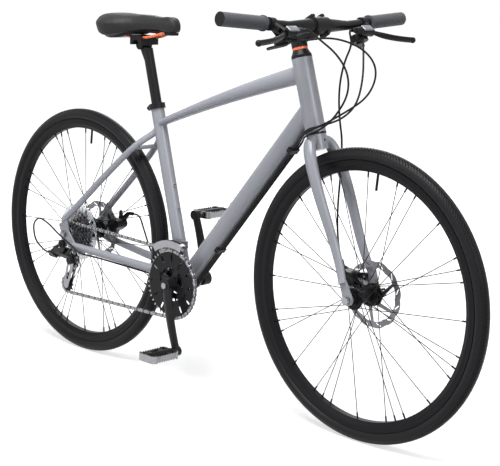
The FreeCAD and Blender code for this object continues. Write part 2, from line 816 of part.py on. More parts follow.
def frame_bearings():
    bore = STEERER_RADIUS + MOVING_GAP
    ring = [(bore, -CUP_DEPTH), (HEAD_BORE, -CUP_DEPTH), (HEAD_BORE, 0), (HEAD_RADIUS, 0),
            (HEAD_RADIUS, CUP_HEIGHT), (bore, CUP_HEIGHT)]
    upper = turned(ring, HEAD_HIGH, STEER_UP)
    lower = turned(ring, HEAD_LOW, -STEER_UP)
    bore = SPINDLE_RADIUS + RUNNING_FIT
    cup = [(bore, -BB_CUP_DEPTH), (SHELL_BORE, -BB_CUP_DEPTH), (SHELL_BORE, 0), (BB_CUP_RADIUS, 0),
           (BB_CUP_RADIUS, BB_CUP_FLANGE), (bore, BB_CUP_FLANGE)]
    right = turned(cup, side(BB, -SHELL_HALF), -LEFT)
    left = turned(cup, side(BB, SHELL_HALF), LEFT)
    return [upper, lower, right, left]


def seat_clamp():
    low = SEAT_TOP - SEAT_UP * CLAMP_HEIGHT
    outer = SEAT_RADIUS + CLAMP_WALL
    band = rod(low, SEAT_TOP, outer)
    middle = low + SEAT_UP * (CLAMP_HEIGHT / 2)
    ear = middle - SEAT_AHEAD * (outer + CLAMP_EAR / 2)
    band = band.fuse(rod(side(ear, -CLAMP_EAR), side(ear, CLAMP_EAR), CLAMP_EAR))
    slot_low = low - SEAT_AHEAD * (outer + CLAMP_EAR * 2) - SEAT_UP * CLAMP_HEIGHT
    slot = Part.Face(Part.makePolygon([
        slot_low, slot_low + SEAT_UP * (CLAMP_HEIGHT * 3),
        slot_low + SEAT_UP * (CLAMP_HEIGHT * 3) + SEAT_AHEAD * (outer + CLAMP_EAR),
        slot_low + SEAT_AHEAD * (outer + CLAMP_EAR), slot_low]))
    slot = slot.extrude(LEFT * CLAMP_SLOT)
    slot.translate(LEFT * (-CLAMP_SLOT / 2))
    band = band.cut(slot).cut(seat_block())
    bolt_line = rod(side(ear, -CLAMP_EAR), side(ear, CLAMP_EAR), CLAMP_BOLT)
    band = band.cut(bolt_line)
    head = rod(side(ear, -CLAMP_EAR - CLAMP_HEAD), side(ear, -CLAMP_EAR), CLAMP_HEAD)
    return [max(band.Solids, key=lambda solid: solid.Volume), bolt_line.fuse(head)]


# Wheels


def tyre(axle):
    shoulder = TYRE_RADIUS - TREAD_DROP
    sidewall = (shoulder + HOOK_RADIUS) / 2
    inner_top = TYRE_RADIUS - TREAD_WALL
    inner_half = TYRE_HALF - TYRE_WALL
    inner_shoulder = shoulder - TYRE_WALL
    inner_tread = TREAD_HALF - TYRE_WALL
    bead_in = BEAD_HALF - TYRE_WALL
    foot = BEAD_RADIUS

    def at(radius, y):
        return V(radius, y, 0)

    edges = [
        Part.LineSegment(at(foot, BEAD_HALF), at(HOOK_RADIUS, BEAD_HALF)),
        Part.Arc(at(HOOK_RADIUS, BEAD_HALF), at(sidewall, TYRE_HALF), at(shoulder, TREAD_HALF)),
        Part.Arc(at(shoulder, TREAD_HALF), at(TYRE_RADIUS, 0), at(shoulder, -TREAD_HALF)),
        Part.Arc(at(shoulder, -TREAD_HALF), at(sidewall, -TYRE_HALF), at(HOOK_RADIUS, -BEAD_HALF)),
        Part.LineSegment(at(HOOK_RADIUS, -BEAD_HALF), at(foot, -BEAD_HALF)),
        Part.LineSegment(at(foot, -BEAD_HALF), at(foot, -bead_in)),
        Part.LineSegment(at(foot, -bead_in), at(HOOK_RADIUS, -bead_in)),
        Part.Arc(at(HOOK_RADIUS, -bead_in), at(sidewall, -inner_half), at(inner_shoulder, -inner_tread)),
        Part.Arc(at(inner_shoulder, -inner_tread), at(inner_top, 0), at(inner_shoulder, inner_tread)),
        Part.Arc(at(inner_shoulder, inner_tread), at(sidewall, inner_half), at(HOOK_RADIUS, bead_in)),
        Part.LineSegment(at(HOOK_RADIUS, bead_in), at(foot, bead_in)),
        Part.LineSegment(at(foot, bead_in), at(foot, BEAD_HALF))]
    face = Part.Face(Part.Wire([edge.toShape() for edge in edges]))
    solid = face.revolve(V(0, 0, 0), LEFT, 360)
    solid.translate(axle)
    return solid


def rim(axle):
    inner = RIM_HALF - RIM_WALL
    ledge = BEAD_RADIUS - SEAT_GAP
    bed = RIM_INNER + RIM_FLOOR
    half = [(HOOK_RADIUS - SEAT_GAP, RIM_HALF), (HOOK_RADIUS - SEAT_GAP, inner), (ledge, inner),
            (ledge, RIM_BED_HALF), (ledge - RIM_WALL, RIM_BED_HALF), (RIM_FLANK_RADIUS, inner),
            (bed, RIM_BED_HALF)]
    outer = [(RIM_INNER, RIM_BED_HALF), (RIM_FLANK_RADIUS, RIM_HALF)]
    corners = half + [(r, -y) for r, y in reversed(half)] + [(r, -y) for r, y in reversed(outer)] + outer
    points = [V(radius, y, 0) for radius, y in corners]
    face = Part.Face(Part.makePolygon(points + points[:1]))
    solid = face.revolve(V(0, 0, 0), LEFT, 360)
    valve_foot = V(0, 0, RIM_INNER - VALVE_LENGTH)
    hole = rod(valve_foot, V(0, 0, BEAD_RADIUS), VALVE_RADIUS)
    valve = rod(valve_foot, V(0, 0, BEAD_RADIUS - TREAD_WALL), VALVE_RADIUS)
    solid = solid.cut(hole)
    valve = spun(valve, V(0, 0, 0), 180.0 / SPOKES)
    solid = spun(solid, V(0, 0, 0), 180.0 / SPOKES)
    solid.translate(axle)
    valve.translate(axle)
    return [solid, valve]


def spoke(flange_y, outside, lead):
    """One laced spoke with its bend, head and nipple, hub at the origin, hole on +Z."""
    out = 1 if flange_y > 0 else -1
    face = flange_y + out * outside * (FLANGE_THICK / 2 + SPOKE_BEND_OUT)
    back = flange_y - out * outside * (FLANGE_THICK / 2 + SPOKE_HEAD)
    hole = V(0, 0, FLANGE_PITCH_RADIUS)
    bend = hole + LEFT * face
    turn = radians(lead)
    rim_end = V(sin(turn), 0, cos(turn)) * (RIM_INNER - SEAT_GAP)
    wire = rod(bend, rim_end, SPOKE_RADIUS)
    elbow = rod(hole + LEFT * back, bend, SPOKE_RADIUS)
    knob = Part.makeSphere(SPOKE_RADIUS, bend)
    seat = flange_y - out * outside * (FLANGE_THICK / 2 + RUNNING_FIT)
    head = rod(hole + LEFT * back, hole + LEFT * seat, SPOKE_HEAD)
    inward = (bend - rim_end).normalize()
    nipple = rod(rim_end, rim_end + inward * NIPPLE_LENGTH, NIPPLE_RADIUS)
    return wire.fuse([elbow, knob, head, nipple]).removeSplitter()


def spokes(axle, flanges):
    """Three-cross lacing, alternating in and out of each flange."""
    step = 360.0 / SPOKES
    group = SPOKES // 2
    lead = SPOKE_CROSS_SHARE * 90.0
    pieces = []
    for row, flange_y in enumerate(flanges):
        for outside, turn in ((1, 1), (-1, -1)):
            piece = spoke(flange_y, outside, turn * (lead - step / 2 * row))
            for number in range(group // 2):
                hole = step * row + (2 * number + (outside < 0)) * 720.0 / SPOKES
                copy = spun(piece, V(0, 0, 0), hole)
                copy.translate(axle)
                pieces.append(copy)
    return pieces


def hub(axle, flanges, ends, rotor_y, axle_radius):
    """Turned hub shell with two drilled flanges and the rotor's seat."""
    bore = axle_radius + RUNNING_FIT
    low, high = ends
    half = FLANGE_THICK / 2
    seat = rotor_y - ROTOR_THICK / 2
    profile = [(bore, low), (HUB_RADIUS, low),
               (HUB_RADIUS, flanges[0] - half), (FLANGE_RADIUS, flanges[0] - half),
               (FLANGE_RADIUS, flanges[0] + half), (HUB_RADIUS, flanges[0] + half),
               (HUB_RADIUS, flanges[1] - half), (FLANGE_RADIUS, flanges[1] - half),
               (FLANGE_RADIUS, flanges[1] + half), (HUB_RADIUS, flanges[1] + half),
               (HUB_RADIUS, seat - FLANGE_THICK * 2), (ROTOR_HUB_RADIUS, seat - FLANGE_THICK),
               (ROTOR_HUB_RADIUS, seat), (ROTOR_BORE - RUNNING_FIT, seat),
               (ROTOR_BORE - RUNNING_FIT, rotor_y), (HUB_RADIUS, high), (bore, high)]
    shell = turned(profile, V(0, 0, 0), LEFT)
    step = 720.0 / SPOKES
    for row, flange_y in enumerate(flanges):
        start = V(0, flange_y - half, FLANGE_PITCH_RADIUS)
        drill = rod(start, start + LEFT * FLANGE_THICK, SPOKE_HOLE)
        drills = [spun(drill, V(0, 0, 0), step * (number + row * 0.5)) for number in range(SPOKES // 2)]
        shell = shell.cut(Part.makeCompound(drills))
    shell.translate(axle)
    return shell


def spoke_protector():
    y = REAR_FLANGES[0] - FLANGE_THICK / 2 - SPOKE_BEND_OUT - SPOKE_RADIUS - SEAT_GAP - PROTECTOR_THICK
    base = side(REAR, y)
    disc = rod(base, base + LEFT * PROTECTOR_THICK, PROTECTOR_RADIUS)
    hole = HUB_RADIUS + RUNNING_FIT
    disc = disc.cut(rod(base, base + LEFT * PROTECTOR_THICK, hole))
    inner = base + UP * (PROTECTOR_RADIUS * SLOT_SHARES[0])
    outer = base + UP * (PROTECTOR_RADIUS * SLOT_SHARES[1])
    slot = strap(inner, SLOT_HALF, outer, SLOT_HALF, LEFT, PROTECTOR_THICK)
    slots = [spun(slot, base, 360.0 / PROTECTOR_SLOTS * number) for number in range(PROTECTOR_SLOTS)]
    return disc.cut(Part.makeCompound(slots))


def rotor(axle, y):
    """Wavy brake band on six swept arms, with its bolts."""
    base = side(axle, y - ROTOR_THICK / 2)
    step = 2 * pi / ROTOR_LOBES

    def at(radius, angle):
        return base + V(cos(angle), 0, sin(angle)) * radius

    def wave(low, high):
        edges = []
        for number in range(ROTOR_LOBES):
            a = step * number
            edges.append(Part.Arc(at(low, a), at(high, a + step / 2), at(low, a + step)))
        return Part.Face(Part.Wire([edge.toShape() for edge in edges]))

    valley = ROTOR_RADIUS - ROTOR_WAVE
    band = wave(valley, ROTOR_RADIUS).cut(wave(valley - ROTOR_BAND, ROTOR_RADIUS - ROTOR_BAND))
    disc = band.extrude(LEFT * ROTOR_THICK)
    centre = rod(base, base + LEFT * ROTOR_THICK, ROTOR_HUB_RADIUS)
    arms = []
    for number in range(ROTOR_ARMS):
        a = 2 * pi / ROTOR_ARMS * number
        inner = at(ROTOR_BOLT_CIRCLE, a)
        outer = at(valley - ROTOR_BAND, a + step)
        root = ROTOR_ARM_HALF * ROTOR_ROOT_SHARE
        arms.append(strap(inner, root, outer, ROTOR_ARM_HALF, LEFT, ROTOR_THICK))
    disc = disc.fuse([centre] + arms).removeSplitter()
    disc = disc.cut(rod(base, base + LEFT * ROTOR_THICK, ROTOR_BORE))
    slots = []
    for number in range(ROTOR_LOBES):
        a = step * (number + 0.5)
        inner = at(ROTOR_RADIUS - ROTOR_BAND * ROTOR_SLOT_SHARES[0], a - step * ROTOR_LEAN_SHARE)
        outer = at(ROTOR_RADIUS - ROTOR_BAND * ROTOR_SLOT_SHARES[1], a + step * ROTOR_LEAN_SHARE)
        slots.append(strap(inner, ROTOR_SLOT, outer, ROTOR_SLOT, LEFT, ROTOR_THICK))
    disc = disc.cut(Part.makeCompound(slots))
    bolts = []
    for number in range(ROTOR_ARMS):
        head = at(ROTOR_BOLT_CIRCLE, 2 * pi / ROTOR_ARMS * number) + LEFT * ROTOR_THICK
        bolts.append(rod(head, head + LEFT * ROTOR_BOLT_RISE, ROTOR_BOLT_HEAD))
    return [disc] + bolts


# Brakes


def caliper_place(axle, angle, radius, y):
    return side(axle, y) + level(angle) * radius


def caliper_tangent(angle):
    return level(angle + 90)


def caliper_bolts(axle, angle, y):
    middle = caliper_place(axle, angle, CALIPER_EAR_RADIUS, y)
    offset = caliper_tangent(angle) * CALIPER_EAR_SPREAD
    return [middle - offset, middle + offset]


def caliper_tab(axle, angle, y):
    """Lug of the fork or frame end that the caliper is bolted to."""
    low, high = caliper_bolts(axle, angle, y)
    root = side(axle, y)
    lug = strap(low, CALIPER_EAR, high, CALIPER_EAR, LEFT, END_THICK)
    lug = lug.fuse(strap(root, END_HUB_RADIUS * CALIPER_LUG_SHARE, low, CALIPER_EAR, LEFT, END_THICK))
    return lug.fuse(strap(root, END_HUB_RADIUS * CALIPER_LUG_SHARE, high, CALIPER_EAR, LEFT, END_THICK))


def brake_caliper(axle, angle, rotor_y, seat_y, arm_angle):
    """Housing over the rotor's edge, two pads, two bolts and the housing stop."""
    inner = rotor_y - CALIPER_IN
    outer = rotor_y + CALIPER_OUT
    centre = caliper_place(axle, angle, CALIPER_RADIUS + SEAT_GAP, inner)
    rim_side = caliper_place(axle, angle, CALIPER_BRIDGE, inner)
    body = strap(centre, CALIPER_BODY, rim_side, CALIPER_BODY * CALIPER_TOP_SHARE, LEFT, outer - inner)
    body = body.cut(rod(side(axle, inner - CUT_OVERRUN), side(axle, outer + CUT_OVERRUN), CALIPER_INNER))
    ear_y = seat_y - CALIPER_EAR_THICK
    low, high = caliper_bolts(axle, angle, ear_y)
    middle = caliper_place(axle, angle, CALIPER_RADIUS, ear_y)
    ear_root = CALIPER_BODY * CALIPER_EAR_SHARE
    for ear in (low, high):
        body = body.fuse(strap(middle, ear_root, ear, CALIPER_EAR, LEFT, CALIPER_EAR_THICK))
    slot_low = side(axle, rotor_y - CALIPER_SLOT)
    slot_high = side(axle, rotor_y + CALIPER_SLOT)
    body = body.cut(rod(slot_low, slot_high, ROTOR_RADIUS + MOVING_GAP * 2))
    for ear in (low, high):
        body = body.cut(rod(ear, ear + LEFT * CALIPER_EAR_THICK, CALIPER_BOLT + RUNNING_FIT))
    pads = []
    pad_centre = caliper_place(axle, angle, ROTOR_RADIUS - ROTOR_BAND / 2, 0)
    face = ROTOR_THICK / 2 + SEAT_GAP
    for out in (-1, 1):
        start = side(pad_centre, rotor_y + out * face)
        pads.append(rod(start, start + LEFT * (out * (CALIPER_SLOT - face)), PAD_RADIUS))
    bolts = []
    for ear in (low, high):
        shank = rod(ear, ear + LEFT * (CALIPER_EAR_THICK + END_THICK), CALIPER_BOLT)
        head = ear + LEFT * (CALIPER_EAR_THICK + END_THICK)
        bolts.append(shank.fuse(rod(head, head + LEFT * CALIPER_BOLT, CALIPER_BOLT_HEAD)))
    pivot = side(centre, outer - inner)
    stub = rod(pivot, pivot + LEFT * (SEAT_GAP + BRAKE_ARM_THICK), CALIPER_PIVOT)
    body = body.fuse(stub)
    stop = cable_stop(axle, angle, rotor_y, arm_angle)
    along = level(arm_angle - 90)
    sleeve = rod(stop, stop + along * CABLE_STOP_LENGTH, CABLE_STOP_RADIUS)
    web_start = side(centre, outer - inner - CALIPER_EAR_THICK)
    web_end = V(stop.x, web_start.y, stop.z)
    web_root = CALIPER_BODY * CALIPER_WEB_SHARE
    web = strap(web_start, web_root, web_end, CABLE_STOP_RADIUS, LEFT, CALIPER_EAR_THICK)
    lift = rod(web_end, stop, CABLE_STOP_RADIUS * STOP_POST_SHARE)
    bore = rod(stop, stop + along * CABLE_STOP_LENGTH, HOUSING_RADIUS + RUNNING_FIT)
    body = body.fuse([web, lift, sleeve]).cut(bore)
    body = max(body.Solids, key=lambda solid: solid.Volume)
    return [body.removeSplitter()] + pads + bolts


def arm_plane(rotor_y):
    return rotor_y + CALIPER_OUT + SEAT_GAP


def cable_stop(axle, angle, rotor_y, arm_angle):
    """Near end of the sleeve that holds the housing, level with the arm."""
    centre = caliper_place(axle, angle, CALIPER_RADIUS + SEAT_GAP, arm_plane(rotor_y) + BRAKE_ARM_THICK / 2)
    return centre + level(arm_angle) * BRAKE_ARM_LENGTH + level(arm_angle - 90) * CABLE_STOP_RUN


def brake_arm(axle, angle, rotor_y, arm_angle):
    centre = caliper_place(axle, angle, CALIPER_RADIUS + SEAT_GAP, arm_plane(rotor_y))
    tip = centre + level(arm_angle) * BRAKE_ARM_LENGTH
    arm = strap(centre, BRAKE_ARM_ROOT, tip, BRAKE_ARM_TIP, LEFT, BRAKE_ARM_THICK)
    return arm.cut(rod(centre, centre + LEFT * BRAKE_ARM_THICK, CALIPER_PIVOT + RUNNING_FIT))


# Axles and skewers


def skewer_pivot(axle, half):
    return side(axle, half + END_THICK + SKEWER_CAP_LENGTH + MOVING_GAP + SKEWER_CAM)


def wheel_axle(axle, half, radius, hub_ends, angle):
    """Axle with lock nuts, the skewer's nut on the right, its cap and cross pin on the left."""
    core = rod(side(axle, -half), side(axle, half), radius)
    core = core.fuse(rod(side(axle, -half - END_THICK), side(axle, half + END_THICK), FRONT_AXLE_RADIUS))
    for inner, end in ((hub_ends[0] - MOVING_GAP, -half), (hub_ends[1] + MOVING_GAP, half)):
        core = core.fuse(rod(side(axle, inner), side(axle, end), LOCKNUT_RADIUS))
    nut = side(axle, -half - END_THICK)
    core = core.fuse(rod(nut, nut - LEFT * SKEWER_NUT_LENGTH, SKEWER_NUT_RADIUS))
    cap = side(axle, half + END_THICK)
    core = core.fuse(rod(cap, cap + LEFT * SKEWER_CAP_LENGTH, SKEWER_NUT_RADIUS))
    pivot = skewer_pivot(axle, half)
    pin = level(angle).cross(LEFT) * SKEWER_NUT_RADIUS
    post = rod(cap, pivot, SKEWER_PIN).fuse(Part.makeSphere(SKEWER_PIN, pivot))
    return core.fuse([post, rod(pivot - pin, pivot + pin, SKEWER_CROSS_PIN)]).removeSplitter()


def skewer_lever(axle, half, angle):
    """Forked cam that turns on the cross pin, with its bent handle."""
    pivot = skewer_pivot(axle, half)
    along = level(angle)
    pin = along.cross(LEFT)
    cam = rod(pivot - pin * SKEWER_NUT_RADIUS, pivot + pin * SKEWER_NUT_RADIUS, SKEWER_CAM)
    root = pivot - pin * SKEWER_EYE_HALF + along * SKEWER_CAM
    tip = root + along * SKEWER_LEVER + LEFT * SKEWER_TIP
    handle = strap(root, SKEWER_LEVER_THICK, tip, SKEWER_TIP, pin, SKEWER_EYE_HALF * 2)
    room = SKEWER_PIN + MOVING_GAP
    corner = pivot - pin * room + along * room
    wide = LEFT * (SKEWER_CAM * 2)
    behind = along * (SKEWER_CAM * 2)
    corners = [corner - wide, corner + wide, corner + wide - behind, corner - wide - behind]
    slot = Part.Face(Part.makePolygon(corners + corners[:1])).extrude(pin * (room * 2))
    hole = rod(pivot - pin * SKEWER_CAM * 2, pivot + pin * SKEWER_CAM * 2, SKEWER_CROSS_PIN + RUNNING_FIT)
    return cam.fuse(handle).cut(slot).cut(hole).removeSplitter()


# Chain drive


def pitch_radius(teeth):
    return CHAIN_PITCH / (2 * sin(pi / teeth))


def sprocket(teeth, base, thickness, phase):
    """Toothed disc: a round seat for each roller, straight flanks and a flat tip."""
    reach = pitch_radius(teeth)
    seat = ROLLER_RADIUS + TOOTH_GAP
    spread = radians(TOOTH_SEAT_ANGLE)
    half_step = pi / teeth
    tip = reach + TOOTH_RISE
    tip_turn = half_step - TOOTH_TIP / tip

    def polar(radius, angle):
        return base + V(cos(angle), 0, sin(angle)) * radius

    edges = []
    for number in range(teeth):
        angle = phase + 2 * half_step * number
        centre = polar(reach, angle)
        inward = angle + pi
        first = centre + V(cos(inward + spread), 0, sin(inward + spread)) * seat
        deep = centre + V(cos(inward), 0, sin(inward)) * seat
        second = centre + V(cos(inward - spread), 0, sin(inward - spread)) * seat
        tip_in = polar(tip, angle - tip_turn)
        tip_out = polar(tip, angle + tip_turn)
        tip_next = polar(tip, angle + 2 * half_step - tip_turn)
        edges.append(Part.LineSegment(tip_in, first))
        edges.append(Part.Arc(first, deep, second))
        edges.append(Part.LineSegment(second, tip_out))
        edges.append(Part.LineSegment(tip_out, tip_next))
    face = Part.Face(Part.Wire([edge.toShape() for edge in edges]))
    return face.extrude(LEFT * thickness)


def tangent_angle(first, second):
    """Heading of the run between two wheels (x, z, radius, turn); turn is +1 anticlockwise."""
    dx = second[0] - first[0]
    dz = second[1] - first[1]
    offset = second[3] * second[2] - first[3] * first[2]
    return atan2(dz, dx) - asin(offset / hypot(dx, dz))


def leaving_point(wheel, heading):
    x, z, radius, turn = wheel[:4]
    return x + turn * radius * sin(heading), z - turn * radius * cos(heading)


def drive_wheels(swing):
    """Cog, ring, tension pulley and guide pulley in the order that the chain meets them."""
    pivot = REAR + V(MECH_PIVOT_FORE, 0, -MECH_PIVOT_DROP)
    turn = FreeCAD.Rotation(LEFT, swing)
    guide = pivot + turn.multVec(V(-GUIDE_AFT, 0, -GUIDE_DROP))
    tension = pivot + turn.multVec(V(-TENSION_AFT, 0, -TENSION_DROP))
    cog = COG_TEETH[CHAIN_COG]
    return [(REAR.x, REAR.z, pitch_radius(cog), -1, cog),
            (BB.x, BB.z, pitch_radius(RING_TEETH[0]), -1, RING_TEETH[0]),
            (tension.x, tension.z, pitch_radius(PULLEY_TEETH), -1, PULLEY_TEETH),
            (guide.x, guide.z, pitch_radius(PULLEY_TEETH), 1, PULLEY_TEETH)]


def chain_legs(swing):
    """Straight runs and wraps, each with its length counted in pitches."""
    wheels = drive_wheels(swing)
    count = len(wheels)
    headings = [tangent_angle(wheels[n], wheels[(n + 1) % count]) for n in range(count)]
    legs = []
    for n in range(count):
        after = (n + 1) % count
        start = leaving_point(wheels[n], headings[n])
        end = leaving_point(wheels[after], headings[n])
        legs.append(("run", start, end, hypot(end[0] - start[0], end[1] - start[1]) / CHAIN_PITCH))
        turn = wheels[after][3]
        sweep = (turn * (headings[after] - headings[n])) % (2 * pi)
        legs.append(("wrap", after, headings[n], sweep * wheels[after][4] / (2 * pi)))
    return wheels, legs


def chain_count(swing):
    return sum(leg[3] for leg in chain_legs(swing)[1])


def solve_swing():
    """Cage angle at which the loop holds a whole, even number of pitches."""
    links = 2 * round(chain_count(0) / 2)
    low = -CAGE_SEARCH
    high = CAGE_SEARCH
    rising = chain_count(high) > chain_count(low)
    for step in range(60):
        middle = (low + high) / 2
        if (chain_count(middle) < links) == rising:
            low = middle
        else:
            high = middle
    return (low + high) / 2, links


SWING, LINKS = solve_swing()
WHEELS, LEGS = chain_legs(SWING)


def roller_places():
    """Roller centres along the loop and the phase of each toothed wheel."""
    places = []
    phases = {}
    passed = 0.0
    number = 0
    for kind, first, second, length in LEGS:
        while number < LINKS and number <= passed + length:
            part = number - passed
            if kind == "run":
                share = part / length
                x = first[0] + (second[0] - first[0]) * share
                z = first[1] + (second[1] - first[1]) * share
            else:
                x_mid, z_mid, radius, turn, teeth = WHEELS[first]
                heading = second + turn * part * 2 * pi / teeth
                x = x_mid + turn * radius * sin(heading)
                z = z_mid - turn * radius * cos(heading)
                phases.setdefault(first, atan2(z - z_mid, x - x_mid))
            places.append(V(x, CHAIN_Y, z))
            number += 1
        passed += length
    return places, phases


ROLLERS, PHASES = roller_places()
GUIDE = V(WHEELS[3][0], 0, WHEELS[3][1])
TENSION = V(WHEELS[2][0], 0, WHEELS[2][1])
MECH_PIVOT = REAR + V(MECH_PIVOT_FORE, 0, -MECH_PIVOT_DROP)


def link_plate(near):
    """Waisted side plate between two pin centres on the X axis."""
    start = V(0, near, 0)
    end = V(CHAIN_PITCH, near, 0)
    plate = strap(start, PLATE_END, end, PLATE_END, LEFT, PLATE_THICK)
    middle = CHAIN_PITCH / 2
    drop = PLATE_END - PLATE_WAIST
    curve = (middle * middle / 4 + drop * drop) / (2 * drop)
    for up in (-1, 1):
        centre = V(middle, near, up * (PLATE_WAIST + curve))
        plate = plate.cut(rod(centre, centre + LEFT * PLATE_THICK, curve))
    return plate


def inner_link():
    pieces = [link_plate(INNER_GAP), link_plate(-INNER_GAP - PLATE_THICK)]
    for x in (0, CHAIN_PITCH):
        pieces.append(rod(V(x, -INNER_GAP, 0), V(x, INNER_GAP, 0), ROLLER_RADIUS))
    link = pieces[0].fuse(pieces[1:])
    half = INNER_GAP + PLATE_THICK
    for x in (0, CHAIN_PITCH):
        link = link.cut(rod(V(x, -half, 0), V(x, half, 0), PIN_RADIUS + PIN_FIT))
    return link


def outer_link():
    near = INNER_GAP + PLATE_THICK + PLATE_GAP
    far = near + PLATE_THICK + PIN_PROUD
    pieces = [link_plate(near), link_plate(-near - PLATE_THICK)]
    for x in (0, CHAIN_PITCH):
        pieces.append(rod(V(x, -far, 0), V(x, far, 0), PIN_RADIUS))
    return pieces[0].fuse(pieces[1:])


def chain():
    kinds = (outer_link(), inner_link())
    pieces = []
    for number, place in enumerate(ROLLERS):
        onward = ROLLERS[(number + 1) % LINKS] - place
        link = kinds[number % 2].copy()
        link.Placement = FreeCAD.Placement(place, FreeCAD.Rotation(FORE, onward))
        pieces.append(link)
    return pieces


def cassette():
    cogs = []
    for number, teeth in enumerate(COG_TEETH):
        base = side(REAR, COG_FIRST_Y + COG_SPACING * number - COG_THICK / 2)
        phase = PHASES[0] if number == CHAIN_COG else 0
        cog = sprocket(teeth, base, COG_THICK, phase)
        cog = cog.cut(rod(base, base + LEFT * COG_THICK, FREEHUB_RADIUS))
        if teeth >= COG_WINDOW_TEETH:
            reach = pitch_radius(teeth)
            middle = (FREEHUB_RADIUS + reach) / 2
            hole = base + UP * middle
            window = rod(hole, hole + LEFT * COG_THICK, reach * COG_WINDOW_SHARE)
            turns = [spun(window, base, 360.0 / COG_WINDOWS * turn) for turn in range(COG_WINDOWS)]
            cog = cog.cut(Part.makeCompound(turns))
        cogs.append(cog)
    outer_y = COG_FIRST_Y - COG_THICK / 2
    end = side(REAR, outer_y - LOCKRING_THICK)
    inner = side(REAR, FREEHUB_INNER_Y)
    carrier = rod(end, inner, FREEHUB_RADIUS)
    carrier = carrier.fuse(rod(end, side(REAR, outer_y), FREEHUB_RADIUS + LOCKRING_THICK))
    carrier = carrier.cut(rod(side(REAR, -REAR_HALF), inner, REAR_AXLE_RADIUS + RUNNING_FIT))
    return [carrier.removeSplitter()] + cogs


def ring_y(number):
    return CHAIN_Y + RING_SPACING * number


def spider_angles():
    return [CRANK_ANGLE + 45 + 90 * number for number in range(RING_BOLTS)]


def chainrings():
    pieces = []
    for number, teeth in enumerate(RING_TEETH):
        base = side(BB, ring_y(number) - RING_THICK / 2)
        ring = sprocket(teeth, base, RING_THICK, PHASES[1] if number == 0 else 0)
        ring = ring.cut(rod(base, base + LEFT * RING_THICK, RING_BORES[number]))
        circle = SMALL_BOLT_CIRCLE if number == 2 else RING_BOLT_CIRCLE
        for angle in spider_angles():
            hole = base + level(angle) * circle
            ring = ring.cut(rod(hole, hole + LEFT * RING_THICK, RING_BOLT_RADIUS * RING_SHANK_SHARE))
        if number == 0:
            reach = pitch_radius(teeth)
            slot = strap(base + UP * (reach * RING_SLOT_SHARES[0]), RING_SLOT_HALF,
                         base + UP * (reach * RING_SLOT_SHARES[1]), RING_SLOT_HALF, LEFT, RING_THICK)
            slots = [spun(slot, base, 360.0 / RING_SLOTS * turn) for turn in range(RING_SLOTS)]
            ring = ring.cut(Part.makeCompound(slots))
        pieces.append(ring)
    outer = ring_y(0) - RING_THICK / 2
    inner = ring_y(1) + RING_THICK / 2
    for angle in spider_angles():
        place = level(angle) * RING_BOLT_CIRCLE + BB
        bolt = rod(side(place, outer), side(place, inner), RING_BOLT_RADIUS * RING_SHANK_SHARE)
        bolt = bolt.fuse(rod(side(place, outer - RING_BOLT_RISE), side(place, outer), RING_BOLT_RADIUS))
        pieces.append(bolt)
        small = level(angle) * SMALL_BOLT_CIRCLE + BB
        low = ring_y(2) + RING_THICK / 2
        top = ring_y(2) - RING_THICK / 2
        short = rod(side(small, low), side(small, top), RING_BOLT_RADIUS * RING_SHANK_SHARE)
        nut = rod(side(small, low), side(small, low + RING_BOLT_RISE / 2), RING_BOLT_RADIUS)
        pieces.append(short.fuse(nut))
    return pieces


def crank_arm(out):
    """Forged arm from the spindle to the pedal eye; out is -1 on the right."""
    along = level(CRANK_ANGLE if out < 0 else CRANK_ANGLE + 180)
    stations = []
    for share in CRANK_SHARES:
        y = out * (CRANK_ROOT_Y + (CRANK_TIP_Y - CRANK_ROOT_Y) * sqrt(share))
        depth = CRANK_ROOT_DEPTH + (CRANK_TIP_DEPTH - CRANK_ROOT_DEPTH) * share
        stations.append((side(BB + along * (CRANK_LENGTH * share), y), depth, CRANK_THICK))
    arm = limb(stations, LEFT)
    eye = BB + along * CRANK_LENGTH
    near = side(eye, out * (CRANK_TIP_Y - CRANK_THICK))
    far = side(eye, out * (CRANK_TIP_Y + CRANK_THICK))
    arm = arm.fuse(rod(near, far, PEDAL_EYE))
    start = SPINDLE_HALF - CUT_OVERRUN * 2
    return arm.fuse(rod(side(BB, out * start), side(BB, out * CRANK_BOSS_OUT), CRANK_BOSS))


def spider():
    outer = ring_y(0) + RING_THICK / 2
    inner = ring_y(1) - RING_THICK / 2
    base = side(BB, outer)
    solid = rod(side(BB, -CRANK_ROOT_Y), side(BB, inner), CRANK_BOSS)
    for angle in spider_angles():
        tip = base + level(angle) * RING_BOLT_CIRCLE
        solid = solid.fuse(strap(base, SPIDER_ARM_ROOT, tip, SPIDER_ARM_TIP, LEFT, inner - outer))
        foot = BB + level(angle) * SMALL_BOLT_CIRCLE
        top = ring_y(2) - RING_THICK / 2
        solid = solid.fuse(rod(side(foot, outer), side(foot, top), RING_BOLT_RADIUS))
        hole = BB + level(angle) * RING_BOLT_CIRCLE
        solid = solid.cut(rod(side(hole, outer), side(hole, inner), RING_BOLT_RADIUS * RING_SHANK_SHARE))
    return solid


def pedal_axle(out):
    """Spindle screwed into the crank arm's eye."""
    along = level(CRANK_ANGLE if out < 0 else CRANK_ANGLE + 180)
    eye = BB + along * CRANK_LENGTH
    start = CRANK_TIP_Y + CRANK_THICK
    neck = rod(side(eye, out * start), side(eye, out * (start + PEDAL_NECK_LENGTH)), PEDAL_NECK)
    return neck.fuse(rod(side(eye, out * start), side(eye, out * pedal_end()), PEDAL_AXLE))


def pedal_start():
    return CRANK_TIP_Y + CRANK_THICK + PEDAL_NECK_LENGTH + MOVING_GAP


def pedal_end():
    return pedal_start() + PEDAL_WIDTH - PEDAL_PLATE * 3


